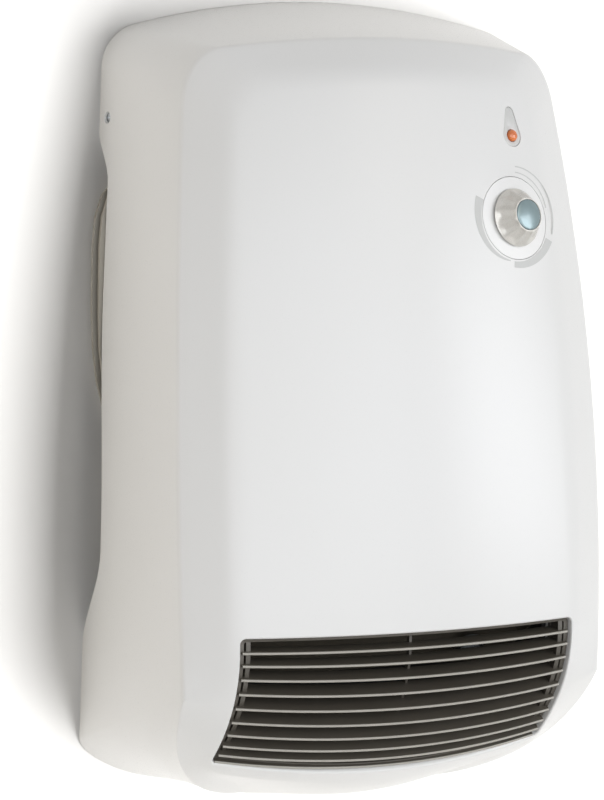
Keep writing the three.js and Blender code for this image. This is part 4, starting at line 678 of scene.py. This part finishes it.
class HEATER_OT_grille(bpy.types.Operator):
    """Outlet grille: louvres that fan out, in a curved frame with ribs"""

    bl_idname = "heater.grille"
    bl_label = "Outlet grille"

    def execute(self, context):
        sizes = context.scene.heater_sizes
        louvres = self.blade(sizes)
        modifier = louvres.modifiers.new("Louvres", "NODES")
        tree, sockets = self.tree()
        modifier.node_group = tree
        dark, edge = self.plastics()
        finish_with(louvres, dark)
        # The second material paints a highlight on the louvres' front edges.
        louvres.data.materials.append(edge)
        values = (("Count", sizes.louvres + 1), ("First", sizes.first_lean), ("Lean", sizes.fan_out))
        for key, value in (*values, ("Body", dark), ("Nose", edge)):
            modifier[sockets[key]] = value
        apply_modifiers(louvres, 40)
        louvres.name = louvres.data.name = "outlet_louvres"
        settle(louvres, "heater", "outlet_grille")

        half, foot, top = OUTLET_HALF - GAP, OUTLET_FOOT + GAP, OUTLET_TOP - GAP
        front, back = GRILLE_FRONT, GRILLE_BACK
        bars = face_tube("grille_frame", ((front, -0.3), (front + 0.4, 0), (back, 0)), half, foot, top, 2.2)
        inside = (half - GRILLE_BAR, foot + GRILLE_RAIL, top - GRILLE_RAIL, 1.2)
        rounded = ((front - 3, 0.4), (front + 0.1, 0.4), (front + 0.6, 0), (back + 3, 0))
        combine(bars, [face_tube("hole", rounded, *inside)])
        ribs = []
        for x, near in ((-POST_X, 4.2), (0, 10.6), (POST_X, 4.2)):
            ribs.append(self.rib(x, 1.3, foot, top, near + 0.6, back - 0.7))
            if x:
                for first, last in ((near, near + 1.6), (back - 1.8, back - 0.1)):
                    ribs.append(self.rib(x, 2.2, foot, top, first, last))
        for rib in ribs:
            combine(bars, [rib], "UNION")
        finish_with(bars, dark)
        settle(bars, "heater", "outlet_grille")
        return {"FINISHED"}

    def rib(self, x, thick, foot, top, front, back):
        """An upright that follows the front, from one inset to another."""
        rings = []
        for i in range(15):
            v = foot + 0.6 + (top - foot - 1.2) * i / 14
            a, b = face_point(x, v, front)[1:], face_point(x, v, back)[1:]
            left, right = x - thick / 2, x + thick / 2
            rings.append([(left, *a), (right, *a), (right, *b), (left, *b)])
        return mesh_object("rib", *loft(rings))

    def blade(self, sizes):
        """One louvre, level, its front edge at the origin and its middle at x = 0, in metres."""
        half, thick, depth = OUTLET_HALF - GAP - 1.2, sizes.louvre_thick / 2, sizes.louvre_depth
        angles = np.linspace(-math.pi / 2, math.pi / 2, 7)
        nose = [(thick * (1 - math.cos(a)), thick * math.sin(a)) for a in angles]
        section = nose + [(depth, thick * 0.8), (depth, -thick * 0.8)]
        rings = []
        for x in np.linspace(-half, half, 49):
            bulge = LOUVRE_BOW * (x / 100) ** 2
            rings.append([(x, bulge + y, z + FOOT) for y, z in section])
        louvre = mesh_object("louvres", *loft(rings))
        flags = louvre.data.attributes.new("nose", "BOOLEAN", "FACE")
        for polygon in louvre.data.polygons:
            corners = [louvre.data.vertices[i].co for i in polygon.vertices]
            mean = sum(corners, Vector()) / len(corners)
            flags.data[polygon.index].value = mean.y / MM - LOUVRE_BOW * (mean.x / MM / 100) ** 2 < thick
        return louvre

    def tree(self):
        """Copies of the blade down the curl: depth and height follow the curl, and each leans more."""
        tree = bpy.data.node_groups.new("fanned_louvres", "GeometryNodeTree")
        face = tree.interface
        kinds = {"Geometry": "Geometry", "Count": "Int", "First": "Float", "Lean": "Float"}
        kinds |= {"Body": "Material", "Nose": "Material"}
        sockets = {}
        for name, kind in kinds.items():
            sockets[name] = face.new_socket(name, in_out="INPUT", socket_type="NodeSocket" + kind).identifier
        face.new_socket("Geometry", in_out="OUTPUT", socket_type="NodeSocketGeometry")
        given = add(tree, "NodeGroupInput").outputs
        row = add(tree, "GeometryNodeMeshLine", {"Count": given["Count"]})
        index = add(tree, "GeometryNodeInputIndex").outputs[0]

        def cubic(a, b, c, d):
            """a + b i + c i^2 + d i^3 for the louvre's number i, given in mm."""
            value = d * MM
            for factor in (c, b, a):
                sum_up = {0: index, 1: value, 2: factor * MM}
                value = add(tree, "ShaderNodeMath", sum_up, operation="MULTIPLY_ADD").outputs[0]
            return value

        depth, height = cubic(*LOUVRE_DEPTHS), cubic(*LOUVRE_HEIGHTS)
        place = add(tree, "ShaderNodeCombineXYZ", {"Y": depth, "Z": height})
        leans = {0: index, 1: given["Lean"], 2: given["First"]}
        lean = add(tree, "ShaderNodeMath", leans, operation="MULTIPLY_ADD")
        turn = add(tree, "ShaderNodeCombineXYZ", {"X": lean.outputs[0]})
        places = {"Geometry": row.outputs[0], "Position": place.outputs[0]}
        set_place = add(tree, "GeometryNodeSetPosition", places)
        copies = add(
            tree,
            "GeometryNodeInstanceOnPoints",
            {"Points": set_place.outputs[0], "Instance": given["Geometry"], "Rotation": turn.outputs[0]},
        )
        real = add(tree, "GeometryNodeRealizeInstances", {0: copies.outputs[0]})
        # Faces flagged as nose take the paler material, a painted highlight.
        nose = add(tree, "GeometryNodeInputNamedAttribute", {"Name": "nose"}, data_type="BOOLEAN")
        body = add(tree, "GeometryNodeSetMaterial", {"Geometry": real.outputs[0], "Material": given["Body"]})
        tip = add(
            tree,
            "GeometryNodeSetMaterial",
            {"Geometry": body.outputs[0], "Selection": nose.outputs[0], "Material": given["Nose"]},
        )
        add(tree, "NodeGroupOutput", {0: tip.outputs[0]})
        return tree, sockets

    def plastics(self):
        """Glass-filled PBT, moulded: warm and near black, with a paler colour on the edges that face out, a
        painted highlight.
        """
        dark = moulded("glass_filled_pbt", "#5A554C", "#4C473F", 0.42, 0.05, 0.4, 0.02, tone=25.0, IOR=1.58)
        # The louvres' front edges get a paler colour than the body: a painted highlight of the light that they
        # catch.
        edge = moulded("pbt_edge_painted_highlight", "#B4B0A6", "#A39F95", 0.3, 0.05, 0.4, 0.01, tone=12.0, IOR=1.58)
        return dark, edge


class HEATER_OT_dial(bpy.types.Operator):
    """Flush dial ring, fluted knob, its cap and the printed scale"""

    bl_idname = "heater.dial"
    bl_label = "Dial and knob"

    def execute(self, context):
        sizes = context.scene.heater_sizes
        at, normal = face_point(KNOB_X, KNOB_Z), face_normal(KNOB_X, KNOB_Z)
        # Moulded ABS of the dial, smoother than the casing
        white = moulded("dial_abs", "#F4F3F1", "#F1F0ED", 0.3, 0.03, 0.5, 0.008, tone=40.0, IOR=1.53)
        pearl = self.pearl()
        cap_paint = self.cap_paint()
        # Pad-printed grey ink
        ink = moulded("printed_ink", "#D3D3D0", "#CDCDCA", 0.45, 0.03, 0.4, 0.004, tone=9.0)

        ring = self.dial_ring(at, normal)
        finish_with(ring, white)
        settle(ring, "heater", "dial_ring")

        knob = self.knob(at, normal, sizes)
        finish_with(knob, pearl)
        settle(knob, "knob", "thermostat_knob")

        top = KNOB_LIFT + KNOB_TALL
        low = top - CAP_THICK + GAP
        profile = [(CAP_RADIUS, low), (CAP_RADIUS, top - 0.15)]
        for a in np.linspace(0.12, 1.5, 14):
            profile.append((CAP_RADIUS * math.cos(a), top - 0.15 + 1.0 * math.sin(a)))
        cap = turned("knob_button", profile, at, normal, 72)
        finish_with(cap, cap_paint)
        settle(cap, "knob", "knob_cap")

        marks = self.scale_marks()
        finish_with(marks, ink)
        settle(marks, "heater", None)
        return {"FINISHED"}

    def dial_ring(self, at, normal):
        """A ring flush with the front, on a flange that lies behind the casing's wall."""
        outer = ((DIAL_RADIUS, -9), (DIAL_RADIUS, 9))
        ring = turned("dial_face", outer, at, normal, 128)
        skin = mesh_object("skin", *loft(*casing_rings((6, 14, 30, 14, 6), 0.0, -RIM, 3, 3, 16)))
        combine(ring, [skin], "INTERSECT")
        flange = turned("flange", ((DIAL_RADIUS + 3, -9), (DIAL_RADIUS + 3, 9)), at, normal, 96)
        skin = mesh_object("skin", *loft(*casing_rings((6, 14, 30, 14, 6), WALL + GAP, 6.0, 3, 3, 16)))
        combine(flange, [skin], "INTERSECT")
        combine(ring, [flange], "UNION")
        flange_back = WALL + GAP + 1.5
        behind = mesh_object("behind", *loft(*casing_rings((6, 14, 30, 14, 6), flange_back, 6.0, 3, 3, 16)))
        bore = turned("bore", ((12.4, -12), (12.4, 12)), at, normal, 96)
        combine(ring, [behind])
        return combine(ring, [bore])

    def knob(self, at, normal, sizes):
        """A cone whose flutes start above its base and fade out below its top."""
        rows = []
        span = KNOB_RADIUS - KNOB_TOP_RADIUS
        bow, shoulder, turn = 0.86, 0.94, 0.06  # bow of the flank, and where its top edge starts to turn in
        for k in range(25):
            t = k / 24
            if t < shoulder:
                share = 1 - t**bow
            else:
                share = (1 - shoulder**bow) * (1 - (t - shoulder) / turn) - 0.05 * (t - shoulder) / turn
            rows.append((KNOB_TOP_RADIUS + span * share, KNOB_LIFT + 0.7 + (KNOB_TALL - 0.7) * t))
        rows = [(KNOB_RADIUS - 1.2, KNOB_LIFT), (KNOB_RADIUS - 0.35, KNOB_LIFT + 0.15)] + rows

        def wave(radius, height, angle):
            t = (height - KNOB_LIFT) / KNOB_TALL
            fade = min(1.0, max(0.0, (t - 0.06) / 0.22)) * min(1.0, max(0.0, (0.99 - t) / 0.12))
            cup = abs(math.cos(sizes.flutes * angle / 2)) ** 1.4
            return radius - sizes.flute_depth * fade * cup

        top = KNOB_LIFT + KNOB_TALL
        knob = turned("knob_cone", rows, at, normal, 192, 38, wave)
        wide = CAP_RADIUS + GAP
        seat = turned("seat", ((wide, top - CAP_THICK), (wide, top + 5)), at, normal, 72)
        boss = turned("boss", ((5.2, -WALL), (5.2, KNOB_LIFT + 2)), at, normal, 48)
        bore = turned("bore", ((3.3, -WALL - 2), (3.3, top - CAP_THICK - 2)), at, normal, 48)
        combine(knob, [boss], "UNION", 38)
        combine(knob, [seat, bore], "DIFFERENCE", 38)
        return knob

    def scale_marks(self):
        """Printed bands round the dial, a tenth of a millimetre proud, that follow the front's curve."""
        squeeze = 0.97  # the printed circles are this much smaller than their radii say
        bands = (
            # start and end angle, clockwise from the top; inner and outer radius at each end
            (-64, -166, (21.4, 26.4), (21.4, 22.0), 44),
            (118, 187, (22.0, 26.6), (21.6, 24.6), 30),
            (6, 110, (25.4, 26.0), (25.2, 25.8), 44),
            (6, 78, (22.6, 23.1), (21.6, 22.0), 30),
        )
        points, faces = [], []
        for start, end, first, last, count in bands:
            rings = []
            for i in range(count + 1):
                t = i / count
                a = math.radians(start + (end - start) * t)
                row = []
                for k, inset in ((0, -0.11), (1, -0.11), (1, 0.05), (0, 0.05)):
                    r = first[k] + (last[k] - first[k]) * t
                    x, v = KNOB_X + r * math.sin(a) * squeeze, KNOB_Z + r * math.cos(a) * squeeze
                    row.append(face_point(x, v, inset))
                rings.append(row)
            p, f = loft(rings)
            faces += [tuple(v + len(points) for v in face) for face in f]
            points += list(p)
        return mesh_object("dial_print", points, faces)

    def pearl(self):
        """Pearl-lacquered ABS: pale grey flake under a clear coat, which gives a soft metal sheen."""
        shine = {"Coat_Weight": 0.4, "Metallic": 0.3}
        return moulded("pearl_lacquer", "#D6D3CC", "#C9C5BE", 0.3, 0.04, 0.25, 0.004, tone=3.0, **shine)

    def cap_paint(self):
        """Metallised cap with a blue-green tint: satin, under a thin clear coat."""
        shine = {"Metallic": 0.35, "Coat_Weight": 0.4}
        return moulded("tinted_cap", "#84979A", "#76898C", 0.24, 0.02, 0.3, 0.003, tone=5.0, **shine)


class HEATER_OT_lamp(bpy.types.Operator):
    """Drop-shaped plate and orange lens of the lamp"""

    bl_idname = "heater.lamp"
    bl_label = "Lamp"

    def execute(self, context):
        at, normal = face_point(LAMP_X, LAMP_Z), face_normal(LAMP_X, LAMP_Z)
        plate = flat_solid("drop_plate", drop(0), -1.2, -GAP, at, normal)
        hole = turned("hole", ((LAMP_HOLE, -4), (LAMP_HOLE, 4)), at, normal, 40)
        combine(plate, [hole])
        bevel = plate.modifiers.new("Edge", "BEVEL")
        bevel.width = 0.25 * MM
        bevel.segments = 2
        bevel.limit_method = "ANGLE"
        apply_modifiers(plate)
        # Moulded ABS, pale grey and smooth
        finish_with(plate, moulded("lamp_plate_abs", "#DBDBD8", "#D2D2CF", 0.25, 0.03, 0.4, 0.006, tone=6.0))
        settle(plate, "heater", "lamp_plate")
        profile = [(LENS_RADIUS, -6), (LENS_RADIUS, 0.2)]
        profile += [(LENS_RADIUS * math.cos(a), 0.2 + 1.7 * math.sin(a)) for a in np.linspace(0.15, 1.45, 12)]
        lens = turned("lamp_window", profile, at, normal, 48)
        colour = (*context.scene.heater_colours.lens, 1.0)
        # Orange acrylic, glossy, with the dark reflector showing through in streaks.
        gloss = {"Roughness": 0.08, "IOR": 1.49, "Coat_Weight": 0.6, "Coat_Roughness": 0.03}
        material, tree, shader, place = blank("orange_pmma", **gloss)
        two_tone(tree, shader, noise(tree, place, 2, 2.0), linear("#D2590F"), colour)
        finish_with(lens, material)
        settle(lens, "heater", "lamp_lens")
        return {"FINISHED"}


class HEATER_OT_screws(bpy.types.Operator):
    """Cross-recessed screws in the sides of the casing"""

    bl_idname = "heater.screws"
    bl_label = "Side screws"

    def execute(self, context):
        # Zinc-plated steel, bright
        steel = metal("bright_zinc_steel", "#C9CCCE", "#A5A8AA", 0.22, 0.3, depth=0.004)
        x = side_half(SCREW_DEPTH, SCREW_Z)
        for side, label in ((-1, "left"), (1, "right")):
            at, out = (side * x, -SCREW_DEPTH, SCREW_Z), (side, 0, 0)
            profile = ((1.6, -9.5), (1.6, -0.85), (2.45, -0.8), (2.5, -0.55), (2.2, -0.1), (1.4, 0.25))
            profile += ((0.5, 0.35),)
            screw = turned("side_screw_head_" + label, profile, at, out, 40)
            cross = []
            for a in (0, 90):
                w, h = (0.35, 1.5) if a else (1.5, 0.35)
                pairs = [(w, h), (w, -h), (-w, -h), (-w, h)]
                cross.append(flat_solid("cross", pairs, -0.7, 2, at, out))
            combine(screw, cross)
            finish_with(screw, steel)
            settle(screw, "heater", "side_screw_" + label)
        return {"FINISHED"}


class HEATER_OT_finishes(bpy.types.Operator):
    """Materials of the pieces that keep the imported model's shape"""

    bl_idname = "heater.finishes"
    bl_label = "Finishes"

    def execute(self, context):
        # Moulded polypropylene: warm grey outside, black in the air duct
        beige = moulded("moulded_pp_grey", "#AFA99D", "#A39D91", 0.5, 0.05, 0.7, 0.03, tone=40.0)
        inner = moulded("moulded_pp_black", "#242321", "#1D1C1B", 0.5, 0.05, 0.7, 0.03, tone=40.0)
        # Zinc-plated sheet of the brackets, and turned and ground steel of screws and shafts
        zinc = metal("zinc_plated_sheet", "#B4B7B8", "#8E9293", 0.38, 0.8, (1, 8, 8))
        bright = metal("turned_steel", "#C2C4C5", "#A4A7A8", 0.25, 0.2, (0.05, 1, 1))
        # Black nylon clips, rubber grommet and bushes, glass-filled nylon fan, urea terminal block
        black = moulded("black_nylon", "#2A2927", "#222120", 0.5, 0.05, 0.5, 0.02, tone=15.0)
        rubber = moulded("black_rubber", "#242322", "#1D1C1B", 0.75, 0.05, 0.6, 0.02, tone=10.0)
        rotor = moulded("glass_filled_nylon", "#333231", "#292827", 0.45, 0.05, 0.5, 0.02, tone=20.0)
        cream = moulded("urea_cream", "#DAD5C4", "#D0CAB7", 0.35, 0.03, 0.5, 0.01, tone=15.0)
        # Drawn copper of the coil and the sensor, brass spindle, mica frame and wire of the element
        copper = metal("drawn_copper", "#B06B3A", "#8E4F27", 0.35, 0.3, (1, 1, 6))
        brass = metal("turned_brass", "#C29A4E", "#A98139", 0.28, 0.2)
        mica = moulded("pressed_mica", "#4E483C", "#3E392F", 0.6, 0.1, 1.2, 0.05, tone=4.0)
        alloy = metal("heating_alloy", "#8F8A82", "#6E6A64", 0.45, 0.4)
        finishes = (
            (beige, ("rear_housing",)),
            (inner, ("fan_housing", "vortex_tongue")),
            (zinc, ("wall_bracket", "thermostat_bracket", "motor_bracket", "motor_stator", "thermal_cutout")),
            (bright, ("wall_screw_left", "wall_screw_right", "fan_shaft", "motor_rotor")),
            (black, ("cable_clamp", "sensor_clip", "lamp_body")),
            (rubber, ("cable_grommet", "bush_left", "bush_right")),
            (rotor, ("fan_rotor",)),
            (cream, ("terminal_block", "thermostat_body")),
            (copper, ("sensor_bulb", "motor_coil")),
            (brass, ("thermostat_spindle",)),
            (mica, ("heater_frame",)),
            (alloy, ("heater_ribbon_1", "heater_ribbon_2", "heater_ribbon_3")),
        )
        for material, names in finishes:
            for name in names:
                finish_with(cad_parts[name], material)
        return {"FINISHED"}


class HEATER_PT_panel(bpy.types.Panel):
    bl_idname = "HEATER_PT_panel"
    bl_label = "Wall fan heater"
    bl_space_type = "VIEW_3D"
    bl_region_type = "UI"
    bl_category = "Heater"

    def draw(self, context):
        for group in (context.scene.heater_sizes, context.scene.heater_colours):
            for key in group.__annotations__:
                self.layout.prop(group, key)
        for operator in OPERATORS:
            self.layout.operator(operator.bl_idname)


OPERATORS = (
    HEATER_OT_stage,
    HEATER_OT_casing,
    HEATER_OT_grille,
    HEATER_OT_dial,
    HEATER_OT_lamp,
    HEATER_OT_screws,
    HEATER_OT_finishes,
)
CLASSES = (HeaterSizes, HeaterColours, *OPERATORS, HEATER_PT_panel)


def register():
    for cls in CLASSES:
        bpy.utils.register_class(cls)
    bpy.types.Scene.heater_sizes = PointerProperty(type=HeaterSizes)
    bpy.types.Scene.heater_colours = PointerProperty(type=HeaterColours)


def unregister():
    del bpy.types.Scene.heater_sizes
    del bpy.types.Scene.heater_colours
    for cls in reversed(CLASSES):
        bpy.utils.unregister_class(cls)


def main():
    register()
    for operator in ("stage", "casing", "grille", "dial", "lamp", "screws", "finishes"):
        getattr(bpy.ops.heater, operator)()


if __name__ == "__main__":
    main()
